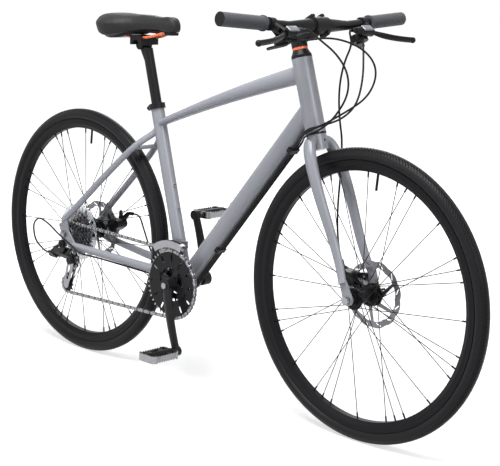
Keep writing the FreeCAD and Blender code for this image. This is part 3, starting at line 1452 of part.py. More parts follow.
def crank_arms():
    hole = rod(side(BB, -SPINDLE_HALF), side(BB, SPINDLE_HALF), SPINDLE_RADIUS)
    heads = Part.makeCompound(crank_spindle()[1:])
    right = crank_arm(-1).fuse(spider()).cut(hole).cut(heads)
    left = crank_arm(1).cut(hole).cut(heads)
    return [right.removeSplitter(), left.removeSplitter(), pedal_axle(-1), pedal_axle(1)]


def crank_spindle():
    spindle = rod(side(BB, -SPINDLE_HALF), side(BB, SPINDLE_HALF), SPINDLE_RADIUS)
    bolts = []
    for out in (-1, 1):
        start = side(BB, out * CRANK_BOSS_OUT)
        bolts.append(rod(start, start + LEFT * (out * CRANK_BOLT_RISE), CRANK_BOLT))
    return [spindle] + bolts


def pedal(out):
    """Barrel with two cross bars inside a toothed cage, level at rest."""
    along = level(CRANK_ANGLE if out < 0 else CRANK_ANGLE + 180)
    middle = side(BB + along * CRANK_LENGTH, out * (pedal_start() + PEDAL_WIDTH / 2))
    half_x = PEDAL_LENGTH / 2
    half_y = PEDAL_WIDTH / 2
    half_z = PEDAL_HEIGHT / 2
    low = middle - V(half_x, half_y, half_z)

    def rounded(inset):
        length = PEDAL_LENGTH - 2 * inset
        width = PEDAL_WIDTH - 2 * inset
        box = Part.makeBox(length, width, PEDAL_HEIGHT, low + V(inset, inset, 0))
        uprights = [edge for edge in box.Edges if abs(edge.BoundBox.ZLength - PEDAL_HEIGHT) < RUNNING_FIT]
        return box.makeFillet(PEDAL_CORNER - inset, uprights)

    cage = rounded(0).cut(rounded(PEDAL_PLATE))
    step = (PEDAL_WIDTH - 2 * PEDAL_CORNER) / PEDAL_TEETH
    notches = []
    for number in range(PEDAL_TEETH):
        y = middle.y - half_y + PEDAL_CORNER + step * number
        for up in (-1, 1):
            edge_z = middle.z + up * half_z
            valley = V(low.x, y + step / 2, edge_z - up * PEDAL_TOOTH)
            corners = [V(low.x, y, edge_z), V(low.x, y + step, edge_z), valley]
            face = Part.Face(Part.makePolygon(corners + corners[:1]))
            notches.append(face.extrude(FORE * PEDAL_LENGTH))
    cage = cage.cut(Part.makeCompound(notches))
    reach = LEFT * (half_y - PEDAL_PLATE)
    barrel = rod(middle - reach, middle + reach, PEDAL_BARREL)
    inside = half_x - PEDAL_PLATE
    for share in (-PEDAL_BAR_SHARE, PEDAL_BAR_SHARE):
        corner = middle + V(-inside, PEDAL_WIDTH * share - PEDAL_BAR / 2, -PEDAL_BAR_HEIGHT / 2)
        barrel = barrel.fuse(Part.makeBox(2 * inside, PEDAL_BAR, PEDAL_BAR_HEIGHT, corner))
    inner_y = out * pedal_start()
    eye = BB + along * CRANK_LENGTH
    mouth = side(eye, inner_y - out * CUT_OVERRUN)
    bore = rod(mouth, side(eye, out * (pedal_end() + MOVING_GAP)), PEDAL_AXLE + RUNNING_FIT)
    return [barrel.cut(bore).removeSplitter(), cage.cut(bore)]


# Derailleurs


def sector(base, inner, outer, first, last, thickness):
    """Curved plate about the crank's axis."""
    middle = (first + last) / 2
    edges = [
        Part.Arc(base + level(first) * outer, base + level(middle) * outer, base + level(last) * outer),
        Part.LineSegment(base + level(last) * outer, base + level(last) * inner),
        Part.Arc(base + level(last) * inner, base + level(middle) * inner, base + level(first) * inner),
        Part.LineSegment(base + level(first) * inner, base + level(first) * outer)]
    return Part.Face(Part.Wire([edge.toShape() for edge in edges])).extrude(LEFT * thickness)


def front_body_box(low, high, near, far):
    """Block beside the seat tube between two heights over the crank's axis."""
    corner = BB + V(-FRONT_BODY_AFT, -far, low)
    return Part.makeBox(FRONT_BODY_FORE + FRONT_BODY_AFT, far - near, high - low, corner)


def front_derailleur_body():
    middle = BB + SEAT_UP * FRONT_BAND_HEIGHT
    low = middle - SEAT_UP * (FRONT_BAND_WIDTH / 2)
    high = middle + SEAT_UP * (FRONT_BAND_WIDTH / 2)
    band = rod(low, high, SEAT_RADIUS + FRONT_BAND_WALL)
    block = front_body_box(FRONT_BODY_LOW, FRONT_BODY_HIGH, SEAT_RADIUS * 0.5, FRONT_BODY_REACH)
    neck_start = middle - LEFT * (SEAT_RADIUS * FRONT_NECK_SHARE)
    neck_end = BB + V(0, -SEAT_RADIUS, (FRONT_BODY_LOW + FRONT_BODY_HIGH) / 2)
    neck = rod(neck_start, neck_end, FRONT_BAND_WIDTH / 2)
    body = band.fuse([block, neck]).cut(seat_block())
    roof = front_body_box(FRONT_BODY_HIGH, FRONT_BODY_HIGH + FRONT_BAND_WIDTH, 0, FRONT_BODY_REACH * 2)
    body = body.cut(roof)
    return max(body.Solids, key=lambda solid: solid.Volume).removeSplitter()


def front_derailleur_cage():
    outer_y = CHAIN_Y - FRONT_CAGE_GAP - FRONT_CAGE_PLATE
    inner_y = CHAIN_Y + FRONT_CAGE_GAP
    first, last = FRONT_CAGE_ANGLES
    outer = sector(side(BB, outer_y), FRONT_CAGE_OUTER, FRONT_CAGE_TOP, first, last, FRONT_CAGE_PLATE)
    inner = sector(side(BB, inner_y), FRONT_CAGE_INNER, FRONT_CAGE_TOP, first, last, FRONT_CAGE_PLATE)
    span = inner_y + FRONT_CAGE_PLATE - outer_y
    base = side(BB, outer_y)
    bridge_low = FRONT_CAGE_TOP - FRONT_CAGE_PLATE
    front_bridge = sector(base, bridge_low, FRONT_CAGE_TOP, first, first + FRONT_CAGE_BRIDGE, span)
    tail_top = FRONT_CAGE_OUTER + FRONT_CAGE_PLATE
    rear_bridge = sector(base, FRONT_CAGE_OUTER, tail_top, last - FRONT_CAGE_BRIDGE, last, span)
    near = -inner_y - FRONT_ARM_END
    shelf = FRONT_BODY_HIGH + SEAT_GAP
    arm = front_body_box(shelf, shelf + FRONT_ARM_THICK, near, -inner_y)
    return outer.fuse([inner, front_bridge, rear_bridge, arm]).removeSplitter()


MECH_AXIS = V(0, sin(radians(MECH_SLANT)), cos(radians(MECH_SLANT)))
MECH_ACROSS = MECH_AXIS.cross(FORE)
LINK_ALONG = FORE * cos(radians(LINK_SWING)) + MECH_ACROSS * sin(radians(LINK_SWING))
LINK_SIDE = MECH_AXIS.cross(LINK_ALONG)
OUTER_LOW = side(MECH_PIVOT, -LINK_TOP_Y) + V(-LINK_TOP_AFT, 0, LINK_TOP_RISE)
OUTER_HIGH = OUTER_LOW - LINK_ALONG * LINK_LENGTH
INNER_LOW = OUTER_LOW + LINK_SIDE * LINK_SPACING
INNER_HIGH = OUTER_HIGH + LINK_SIDE * LINK_SPACING


def mech_link(high, low):
    """Parallelogram link with its two pin holes."""
    start = high - MECH_AXIS * LINK_HALF
    end = low - MECH_AXIS * LINK_HALF
    link = strap(start, LINK_END, end, LINK_END, MECH_AXIS, LINK_HALF * 2)
    for place in (start, end):
        link = link.cut(rod(place, place + MECH_AXIS * (LINK_HALF * 2), LINK_PIN + RUNNING_FIT))
    return link


def clevis(outer, inner, heading):
    """Two ears, their pins and the post that ties them, for one end of both links."""
    post = (outer + inner) * 0.5 + heading * POST_REACH
    near = LINK_HALF + SEAT_GAP
    far = near + EAR_THICK
    pieces = [rod(post - MECH_AXIS * far, post + MECH_AXIS * far, POST_END)]
    for offset in (near, -far):
        lift = MECH_AXIS * offset
        pieces.append(strap(outer + lift, EAR_END, inner + lift, EAR_END, MECH_AXIS, EAR_THICK))
        pieces.append(strap(outer + lift, EAR_END, post + lift, POST_END, MECH_AXIS, EAR_THICK))
        pieces.append(strap(inner + lift, EAR_END, post + lift, POST_END, MECH_AXIS, EAR_THICK))
    for place in (outer, inner):
        pieces.append(rod(place - MECH_AXIS * far, place + MECH_AXIS * far, LINK_PIN))
    return pieces, post


def rear_derailleur_mount():
    pieces, post = clevis(OUTER_HIGH, INNER_HIGH, -LINK_ALONG)
    hanger = side(REAR, -REAR_HALF - END_THICK) + V(-HANGER_AFT, 0, -HANGER_DROP)
    knob = rod(hanger, hanger - LEFT * MOUNT_THICK, MOUNT_RADIUS)
    bolt = rod(hanger + LEFT * END_THICK, hanger, CAGE_STUB)
    lift = post + MECH_AXIS * (LINK_HALF + EAR_THICK + POST_END)
    neck = rod(hanger - LEFT * MOUNT_THICK, lift, POST_END).fuse(rod(post, lift, POST_END))
    neck = neck.fuse(Part.makeSphere(POST_END, lift))
    barrel = rod(post, post - LINK_ALONG * BARREL_LENGTH, BARREL_RADIUS)
    body = knob.fuse([bolt, neck, barrel] + pieces)
    end = post - LINK_ALONG * BARREL_LENGTH
    body = body.cut(rod(end, end + LINK_ALONG * (BARREL_LENGTH * 0.5), HOUSING_RADIUS + RUNNING_FIT))
    return body.removeSplitter()


def derailleur_knuckle():
    pieces, post = clevis(OUTER_LOW, INNER_LOW, LINK_ALONG)
    cage_y = CHAIN_Y - CAGE_GAP - CAGE_PLATE - SEAT_GAP
    start = side(MECH_PIVOT, cage_y)
    end = side(MECH_PIVOT, -KNUCKLE_Y)
    boss_piece = rod(start, end, KNUCKLE_RADIUS)
    neck_end = side(MECH_PIVOT, (cage_y - KNUCKLE_Y) / 2) + FORE * POST_END
    neck = rod(post, neck_end, POST_END)
    body = boss_piece.fuse([neck] + pieces)
    bore_end = side(MECH_PIVOT, -KNUCKLE_Y + CAGE_PLATE)
    return body.cut(rod(start, bore_end, CAGE_STUB + RUNNING_FIT)).removeSplitter()


def derailleur_cage():
    outer_y = CHAIN_Y - CAGE_GAP - CAGE_PLATE
    inner_y = CHAIN_Y + CAGE_GAP
    plates = []
    for y in (outer_y, inner_y):
        plate = strap(side(GUIDE, y), CAGE_HEAD, side(TENSION, y), CAGE_TAIL, LEFT, CAGE_PLATE)
        run = TENSION - GUIDE
        top = side(GUIDE + run * CAGE_WINDOW_SHARES[0], y)
        low = side(GUIDE + run * CAGE_WINDOW_SHARES[1], y)
        window = strap(top, CAGE_WINDOW, low, CAGE_WINDOW * CAGE_TAPER_SHARE, LEFT, CAGE_PLATE)
        plates.append(plate.cut(window))
    head = side(GUIDE, outer_y)
    pivot = side(MECH_PIVOT, outer_y)
    outer = plates[0].fuse(strap(head, CAGE_HEAD, pivot, KNUCKLE_RADIUS, LEFT, CAGE_PLATE))
    stub_end = side(MECH_PIVOT, -KNUCKLE_Y + CAGE_PLATE + SEAT_GAP)
    stub = rod(pivot, stub_end, CAGE_STUB)
    far_y = inner_y + CAGE_PLATE
    pins = [rod(side(place, outer_y), side(place, far_y), PULLEY_BORE) for place in (GUIDE, TENSION)]
    return outer.fuse([plates[1], stub] + pins).removeSplitter()


def pulley(place, wheel):
    base = side(place, CHAIN_Y - RING_THICK / 2)
    solid = sprocket(PULLEY_TEETH, base, RING_THICK, PHASES[wheel])
    near = side(place, CHAIN_Y - PULLEY_HUB_HALF)
    far = side(place, CHAIN_Y + PULLEY_HUB_HALF)
    solid = solid.fuse(rod(near, far, PULLEY_HUB))
    return solid.cut(rod(near, far, PULLEY_BORE + RUNNING_FIT)).removeSplitter()


# Seatpost and saddle


POST_TOP = SEAT_TOP + SEAT_UP * POST_RISE
POST_HEAD = POST_TOP - FORE * HEAD_SETBACK


def seatpost():
    foot = SEAT_TOP - SEAT_UP * POST_INSERT
    post = rod(foot, POST_TOP, POST_RADIUS)
    drum = rod(side(POST_HEAD, -HEAD_DRUM_HALF), side(POST_HEAD, HEAD_DRUM_HALF), HEAD_DRUM)
    neck = rod(POST_TOP - SEAT_UP * (HEAD_DRUM * 3), POST_HEAD, POST_RADIUS)
    bore_top = POST_TOP - SEAT_UP * (HEAD_DRUM * 3)
    trim = HEAD_DRUM * 4
    cap = Part.makeBox(trim * 2, trim * 2, trim, POST_HEAD - V(trim, trim, HEAD_TRIM))
    post = post.cut(rod(foot, bore_top, POST_RADIUS - POST_WALL))
    return post.fuse(neck).cut(cap).fuse(drum).removeSplitter()


def saddle_place(along, out, height):
    """Place in shares of the saddle: along from the tail, out from the middle, height over its foot."""
    tail = POST_HEAD + V(SADDLE_NOSE_FORE - SADDLE_LENGTH, 0, SADDLE_RISE - SADDLE_DEPTH)
    return tail + V(SADDLE_LENGTH * along, SADDLE_HALF * out, SADDLE_DEPTH * height)


def saddle_outline(along, width, top, low, narrow):
    """Crowned top, drawn-in flanks and flat underside at one place along the saddle."""
    flank = low + (top - low) * SADDLE_FLANK_SHARE
    out = width * narrow
    foot = out * SADDLE_DRAW_SHARE
    right = saddle_place(along, -out, flank)
    left = saddle_place(along, out, flank)
    edges = [
        Part.LineSegment(saddle_place(along, -foot, low), right),
        Part.Arc(right, saddle_place(along, 0, top), left),
        Part.LineSegment(left, saddle_place(along, foot, low)),
        Part.LineSegment(saddle_place(along, foot, low), saddle_place(along, -foot, low))]
    return Part.Wire([edge.toShape() for edge in edges])


def saddle_cover():
    outlines = [saddle_outline(along, width, top, low, 1) for along, width, top, low in SADDLE_SHARES]
    return Part.makeLoft(outlines, True, False)


def saddle_base():
    """Shell under the padding, narrower and thinner than the cover."""
    outlines = []
    for station in SADDLE_SHARES[1:-1]:
        along, width = station[:2]
        low = station[-1]
        foot = width * SADDLE_DRAW_SHARE * BASE_SHARE
        high = saddle_place(along, 0, low).z
        corners = [V(saddle_place(along, 0, 0).x, SADDLE_HALF * foot * sign, high - drop)
                   for sign, drop in ((-1, 0), (1, 0), (BASE_SHARE, BASE_DEPTH), (-BASE_SHARE, BASE_DEPTH))]
        outlines.append(Part.makePolygon(corners + corners[:1]))
    return Part.makeLoft(outlines, True, False)


def saddle_rail(out, cover):
    """Steel rail from the tail socket through the clamp to the nose socket."""
    flat = POST_HEAD + UP * RAIL_RISE + LEFT * (out * RAIL_HALF)
    along, spread, height = RAIL_NOSE_SHARES
    nose = saddle_place(along, out * spread, height)
    along, spread, height = RAIL_TAIL_SHARES
    tail = saddle_place(along, out * spread, height)
    front = flat + FORE * RAIL_FLAT
    back = flat - FORE * RAIL_FLAT
    rail = cord([tail, back, front, nose], RAIL_RADIUS)
    return rail.cut(cover)


def saddle_rails():
    cover = saddle_cover()
    base = saddle_base().cut(cover)
    rails = []
    for out in (-1, 1):
        rail = saddle_rail(out, cover)
        rail = max(rail.cut(base).Solids, key=lambda solid: solid.Volume)
        rails.append(rail)
    rail_z = POST_HEAD.z + RAIL_RISE
    corner = V(POST_HEAD.x - JAW_LENGTH, -JAW_HALF, POST_HEAD.z)
    lower = Part.makeBox(JAW_LENGTH * 2, JAW_HALF * 2, RAIL_RISE - SEAT_GAP / 2, corner)
    drum = rod(side(POST_HEAD, -JAW_HALF), side(POST_HEAD, JAW_HALF), HEAD_DRUM + SEAT_GAP)
    lower = lower.cut(drum)
    corner = V(POST_HEAD.x - JAW_LENGTH, -JAW_HALF, rail_z + SEAT_GAP / 2)
    upper = Part.makeBox(JAW_LENGTH * 2, JAW_HALF * 2, JAW_PLATE, corner)
    for rail in rails:
        lower = lower.cut(rail)
        upper = upper.cut(rail)
    lower = max(lower.Solids, key=lambda solid: solid.Volume)
    return [max(base.Solids, key=lambda solid: solid.Volume)] + rails + [lower, upper]


# Steering


def steer(along, ahead=0, y=0):
    """Place in steering terms: up the axis from the head tube's foot, ahead of it, to the left."""
    return HEAD_LOW + STEER_UP * along + STEER_FORE * ahead + LEFT * y


STACK = HEAD_LENGTH + CUP_HEIGHT + MOVING_GAP
COVER_TOP = STACK + COVER_HEIGHT
RING_TOP = COVER_TOP + RING_HEIGHT
STEM_TOP = RING_TOP + STEM_CLAMP_HEIGHT
CROWN_TOP = -CUP_HEIGHT - MOVING_GAP


def headset_spacers():
    bore = STEERER_RADIUS + RUNNING_FIT
    cover = turned([(bore, 0), (HEAD_RADIUS, 0), (HEAD_RADIUS, RIM_WALL), (COVER_TOP_RADIUS, COVER_HEIGHT),
                    (bore, COVER_HEIGHT)], steer(STACK), STEER_UP)
    ring = turned([(bore, 0), (RING_RADIUS, 0), (RING_RADIUS, RING_HEIGHT), (bore, RING_HEIGHT)],
                  steer(COVER_TOP), STEER_UP)
    half = CAP_HEIGHT / 2
    cap = turned([(0, 0), (CAP_RADIUS, 0), (CAP_RADIUS, half), (CAP_RADIUS - half, CAP_HEIGHT),
                  (0, CAP_HEIGHT)], steer(STEM_TOP), STEER_UP)
    return [cover, ring, cap]


def fork_blade(out):
    stations = []
    for rise, ahead, spread, size in BLADE_SHARES:
        place = AXIS_FOOT + STEER_UP * (AXLE_TO_HEAD * rise) + STEER_FORE * (FORK_RAKE * ahead)
        stations.append((side(place, out * BLADE_SPREAD * spread), BLADE_DEPTH * size, BLADE_WIDTH * size))
    return limb(stations, LEFT)


def fork_end(out):
    """Flat end that holds the axle, with the caliper's lug on the left."""
    y = FRONT_HALF if out > 0 else -FRONT_HALF - END_THICK
    base = side(FRONT, y)
    rise, ahead = BLADE_SHARES[-1][:2]
    place = AXIS_FOOT + STEER_UP * (AXLE_TO_HEAD * rise) + STEER_FORE * (FORK_RAKE * ahead)
    heading = (place - FRONT).normalize()
    plate = strap(base, FORK_END_RADIUS, base + heading * FORK_END_RUN, FORK_END_TIP, LEFT, END_THICK)
    if out > 0:
        plate = plate.fuse(caliper_tab(FRONT, FRONT_CALIPER_ANGLE, y))
        for bolt in caliper_bolts(FRONT, FRONT_CALIPER_ANGLE, y):
            plate = plate.cut(rod(bolt, bolt + LEFT * END_THICK, CALIPER_BOLT + RUNNING_FIT))
    return plate.cut(rod(base, base + LEFT * END_THICK, FRONT_AXLE_RADIUS + RUNNING_FIT)).removeSplitter()


def fork():
    low = steer(CROWN_TOP - CROWN_HEIGHT)
    crown = rod(low, steer(CROWN_TOP), CROWN_RADIUS)
    steerer = rod(steer(CROWN_TOP), steer(STEM_TOP - CAP_HEIGHT), STEERER_RADIUS)
    crown = crown.fuse(steerer)
    crown = crown.cut(rod(steer(0), steer(STEM_TOP), STEERER_BORE))
    hole = steer(CROWN_TOP - CROWN_HOLE_DROP)
    crown = crown.cut(rod(hole - STEER_FORE * HEAD_RADIUS, hole + STEER_FORE * HEAD_RADIUS, CROWN_HOLE))
    block = rod(low, steer(CROWN_TOP), CROWN_RADIUS)
    pieces = [crown.removeSplitter()]
    for out in (-1, 1):
        end = fork_end(out)
        blade = fork_blade(out).cut(block).cut(end)
        pieces.append(max(blade.Solids, key=lambda solid: solid.Volume))
        pieces.append(end)
    return pieces


STEM_MIDDLE = steer(RING_TOP + STEM_CLAMP_HEIGHT / 2)
STEM_ALONG = level(90 - HEAD_ANGLE + STEM_RISE)
BAR = STEM_MIDDLE + STEM_ALONG * STEM_REACH
STEM_UPRIGHT = V(-STEM_ALONG.z, 0, STEM_ALONG.x)


def bar_end(out):
    return BAR + V(-BAR_SWEEP, out * BAR_HALF, BAR_RISE)


def bar_point(y):
    """Place on the bar's straight outer part at a distance from the middle."""
    out = 1 if y > 0 else -1
    start = BAR + LEFT * (out * BAR_BEND)
    share = (abs(y) - BAR_BEND) / (BAR_HALF - BAR_BEND)
    return start + (bar_end(out) - start) * share


def bar_solid(shrink):
    stations = []
    for y, radius in ((-BAR_BEND, BAR_RADIUS), (-BAR_BULGE_HALF, BAR_CLAMP), (BAR_BULGE_HALF, BAR_CLAMP),
                      (BAR_BEND, BAR_RADIUS)):
        stations.append(Part.Wire(Part.makeCircle(radius - shrink, BAR + LEFT * y, LEFT)))
    solid = Part.makeLoft(stations, True, True)
    for out in (-1, 1):
        start = BAR + LEFT * (out * BAR_BEND)
        knee = Part.makeSphere(BAR_RADIUS - shrink, start)
        solid = solid.fuse([knee, rod(start, bar_end(out), BAR_RADIUS - shrink)])
    return solid


def handlebar():
    return bar_solid(0).cut(bar_solid(BAR_WALL)).removeSplitter()


def bar_sleeve(near, far, outer):
    """Tube round the bar between two distances from the middle."""
    return pipe(bar_point(near), bar_point(far), outer, BAR_RADIUS)


def grips():
    pieces = []
    for out in (-1, 1):
        inner = out * (BAR_HALF - GRIP_LENGTH)
        sleeve = bar_sleeve(inner, out * BAR_HALF, GRIP_RADIUS)
        flange = bar_sleeve(inner, inner + out * GRIP_FLANGE_WIDTH, GRIP_FLANGE)
        cap = rod(bar_end(out), bar_point(out * (BAR_HALF + GRIP_CAP)), GRIP_RADIUS)
        pieces.append(sleeve.fuse([flange, cap]).removeSplitter())
    return pieces


def stem():
    low = steer(RING_TOP)
    high = steer(STEM_TOP)
    clamp = rod(low, high, STEM_RADIUS)
    neck = limb([(STEM_MIDDLE, STEM_DEPTH, STEM_WIDTH), (BAR, STEM_DEPTH, STEM_WIDTH)], LEFT)
    cradle = rod(side(BAR, -FACE_HALF), side(BAR, FACE_HALF), BAR_CLAMP + FACE_WALL)
    lugs = []
    for y in (-FACE_BOLT_SPREAD, FACE_BOLT_SPREAD):
        for up in (-1, 1):
            place = side(BAR, y) + STEM_UPRIGHT * (up * FACE_BOLT_HEIGHT)
            lugs.append(rod(place - STEM_ALONG * BAR_CLAMP, place, FACE_LUG))
    body = clamp.fuse([neck, cradle] + lugs)
    body = body.cut(front_half(FACE_SPLIT / 2))
    body = body.cut(rod(side(BAR, -FACE_HALF), side(BAR, FACE_HALF), BAR_CLAMP))
    body = body.cut(rod(low, high, STEERER_RADIUS))
    body = body.cut(rod(high, high + STEER_UP * CAP_HEIGHT, CAP_RADIUS + SEAT_GAP))
    for shank in face_bolt_lines():
        body = body.cut(shank)
    return body.removeSplitter()


def front_half(back):
    """Space ahead of the bar's middle plane, less or more by a split."""
    size = STEM_REACH * 2
    corner = BAR - STEM_ALONG * back - STEM_UPRIGHT * size - LEFT * size
    face = Part.Face(Part.makePolygon([
        corner, corner + STEM_UPRIGHT * (size * 2), corner + STEM_UPRIGHT * (size * 2) + LEFT * (size * 2),
        corner + LEFT * (size * 2), corner]))
    return face.extrude(STEM_ALONG * size)


def face_bolt_lines():
    lines = []
    for y in (-FACE_BOLT_SPREAD, FACE_BOLT_SPREAD):
        for up in (-1, 1):
            place = side(BAR, y) + STEM_UPRIGHT * (up * FACE_BOLT_HEIGHT)
            lines.append(rod(place - STEM_ALONG * BAR_CLAMP, place + STEM_ALONG * FACE_LUG * 2, FACE_BOLT))
    return lines


def stem_faceplate():
    shell = rod(side(BAR, -FACE_HALF), side(BAR, FACE_HALF), BAR_CLAMP + FACE_WALL)
    bolts = []
    for y, up in [(y, up) for y in (-1, 1) for up in (-1, 1)]:
        place = side(BAR, y * FACE_BOLT_SPREAD) + STEM_UPRIGHT * (up * FACE_BOLT_HEIGHT)
        shell = shell.fuse(rod(place, place + STEM_ALONG * FACE_LUG, FACE_LUG))
        head = place + STEM_ALONG * FACE_LUG
        shank = rod(place - STEM_ALONG * BAR_CLAMP, head, FACE_BOLT)
        bolts.append(shank.fuse(rod(head, head + STEM_ALONG * FACE_BOLT_HEAD, FACE_BOLT_HEAD)))
    shell = shell.common(front_half(-FACE_SPLIT / 2))
    shell = shell.cut(rod(side(BAR, -FACE_HALF), side(BAR, FACE_HALF), BAR_CLAMP))
    for bolt in bolts:
        shell = shell.cut(bolt)
    return [shell.removeSplitter()] + bolts


LEVER_AXIS = level(LEVER_SLANT)
LEVER_PIVOT = BAR + V(LEVER_PIVOT_FORE, 0, -LEVER_PIVOT_DROP)
POD_AXIS = level(90 + POD_TILT)
POD = BAR + V(POD_FORE, 0, -POD_DROP)


def lever_body(out):
    """Bar clamp, brake housing with its adjuster and the shifter's drum below."""
    clamp_near = bar_point(out * (PERCH_Y - PERCH_HALF))
    clamp_far = bar_point(out * (PERCH_Y + PERCH_HALF))
    clamp = rod(clamp_near, clamp_far, BAR_RADIUS + PERCH_WALL)
    pivot = side(LEVER_PIVOT, out * LEVER_PIVOT_Y)
    inner = BAR + V(BODY_FORE, out * BODY_INNER_Y, -BODY_DROP)
    root = bar_point(out * PERCH_Y)
    swell = BODY_RADIUS * BODY_SHARES[0]
    slim = BODY_RADIUS * BODY_SHARES[1]
    nose = limb([(pivot, BODY_RADIUS, BODY_RADIUS), ((pivot + inner) * 0.5, swell, BODY_RADIUS),
                 (inner, slim, slim)], LEVER_AXIS)
    width = PERCH_HALF * BODY_SHARES[2]
    arm = limb([(root, BODY_RADIUS, width), (pivot, BODY_RADIUS * BODY_SHARES[3], width)], LEFT)
    heading = (inner - pivot).normalize()
    adjuster = rod(inner, inner + heading * ADJUSTER_LENGTH, ADJUSTER_RADIUS)
    drum_middle = side(POD, out * POD_Y)
    low = drum_middle - POD_AXIS * POD_HALF
    high = drum_middle + POD_AXIS * POD_HALF
    drum = rod(low, high, POD_RADIUS)
    tie_width = PERCH_HALF * BODY_SHARES[4]
    tie = limb([(drum_middle, PERCH_HALF, tie_width), (root, PERCH_HALF, tie_width)], FORE)
    shift_adjuster = rod(drum_middle, shift_outlet(out), ADJUSTER_RADIUS)
    body = clamp.fuse([nose, arm, adjuster, drum, tie, shift_adjuster])
    body = body.cut(bar_cut(out))
    reach = LEVER_AXIS * (LEVER_HUB_HALF + SEAT_GAP)
    slot = rod(pivot - reach, pivot + reach, LEVER_PIVOT_RADIUS + MOVING_GAP)
    body = body.cut(slot).cut(lever_sweep(out))
    body = body.fuse(rod(pivot - LEVER_AXIS * BODY_RADIUS, pivot + LEVER_AXIS * BODY_RADIUS, LEVER_PIN))
    stub = rod(low, low - POD_AXIS * (SEAT_GAP + PADDLE_THICK + SEAT_GAP), ADJUSTER_RADIUS)
    return max(body.fuse(stub).Solids, key=lambda solid: solid.Volume)


def shift_heading(out):
    return (FORE - LEFT * (out * SHIFT_OUT_SHARE)).normalize()


def shift_outlet(out):
    """Mouth of the shifter's cable adjuster, ahead of and inside the drum."""
    return side(POD, out * POD_Y) + shift_heading(out) * (POD_RADIUS + ADJUSTER_LENGTH)


def brake_heading(out):
    pivot = side(LEVER_PIVOT, out * LEVER_PIVOT_Y)
    inner = BAR + V(BODY_FORE, out * BODY_INNER_Y, -BODY_DROP)
    return (inner - pivot).normalize()


def brake_outlet(out):
    """Mouth of the brake lever's cable adjuster."""
    inner = BAR + V(BODY_FORE, out * BODY_INNER_Y, -BODY_DROP)
    return inner + brake_heading(out) * ADJUSTER_LENGTH


def bar_cut(out):
    bend = BAR + LEFT * (out * BAR_BEND)
    return rod(bend, bar_end(out), BAR_RADIUS).fuse(Part.makeSphere(BAR_RADIUS, bend))


def lever_sweep(out):
    """Room that the brake lever's root needs as it swings towards the bar."""
    pivot = side(LEVER_PIVOT, out * LEVER_PIVOT_Y)
    tip = side(BAR + V(LEVER_TIP_FORE, 0, -LEVER_TIP_DROP), out * LEVER_TIP_Y)
    span = LEVER_HUB_HALF * 2 + MOVING_GAP * 4
    back = BAR + V(0, out * LEVER_TIP_Y, 0)
    low = pivot - LEVER_AXIS * (span / 2)
    flat = back - LEVER_AXIS * LEVER_AXIS.dot(back - pivot)
    ahead = tip - LEVER_AXIS * LEVER_AXIS.dot(tip - pivot)
    far = flat - LEVER_AXIS * (span / 2)
    room = strap(low, LEVER_PIVOT_RADIUS + MOVING_GAP, far, LEVER_PIVOT_RADIUS, LEVER_AXIS, span)
    fan = Part.Face(Part.makePolygon([pivot, flat, ahead, pivot])).extrude(LEVER_AXIS * span)
    fan.translate(LEVER_AXIS * (-span / 2))
    return room.fuse(fan)


def brake_lever(out):
    """Two-finger lever with a hub on the perch's pin."""
    pivot = side(LEVER_PIVOT, out * LEVER_PIVOT_Y)
    tip = side(BAR + V(LEVER_TIP_FORE, 0, -LEVER_TIP_DROP), out * LEVER_TIP_Y)
    run = tip - pivot
    stations = []
    for along, ahead in LEVER_SHARES:
        place = pivot + V(run.x * ahead, run.y * along, run.z * ahead)
        stations.append((place, LEVER_HUB_HALF if along == 0 else LEVER_DEPTH, LEVER_WIDTH))
    blade = limb(stations, LEVER_AXIS.cross(LEFT))
    hub_reach = LEVER_AXIS * LEVER_HUB_HALF
    hub_piece = rod(pivot - hub_reach, pivot + hub_reach, LEVER_PIVOT_RADIUS)
    ball = Part.makeSphere(LEVER_DEPTH, tip)
    hole = rod(pivot - LEVER_AXIS * BODY_RADIUS, pivot + LEVER_AXIS * BODY_RADIUS, LEVER_PIN + RUNNING_FIT)
    return blade.fuse([hub_piece, ball]).cut(hole).removeSplitter()


def shift_lever(out):
    """Thumb paddle under the drum."""
    low = side(POD, out * POD_Y) - POD_AXIS * (POD_HALF + SEAT_GAP + PADDLE_THICK)
    ahead = V(POD_AXIS.z, 0, -POD_AXIS.x)
    turn = radians(PADDLE_ANGLE)
    heading = ahead * cos(turn) - LEFT * (out * sin(turn))
    tip = low + heading * PADDLE_LENGTH
    paddle = strap(low, PADDLE_ROOT, tip, PADDLE_TIP, POD_AXIS, PADDLE_THICK)
    return paddle.cut(rod(low, low + POD_AXIS * PADDLE_THICK, ADJUSTER_RADIUS + RUNNING_FIT))


# Cable housings


def loop(shares):
    return [steer(LOOP_RISE * rise, LOOP_REACH * ahead, LOOP_SPREAD * out) for ahead, out, rise in shares]


def under_down(along, y):
    """Place under the down tube, measured from the crank's axis."""
    return side(BB + DOWN_ALONG * along + DOWN_UNDER * DOWN_LANE_DEPTH, y)


DOWN_STOP = (DOWN_HEAD - BB).Length - DOWN_STOP_DROP


def lead_out(mouth, heading):
    """Short straight start of a housing at an adjuster's mouth."""
    return [mouth + heading * SEAT_GAP, mouth + heading * ADJUSTER_LENGTH]


def down_lead(number):
    """End of a housing at the down tube's upper clip."""
    y = DOWN_LANES[number]
    return [under_down(DOWN_STOP + ADJUSTER_LENGTH * 2, y), under_down(DOWN_STOP, y)]


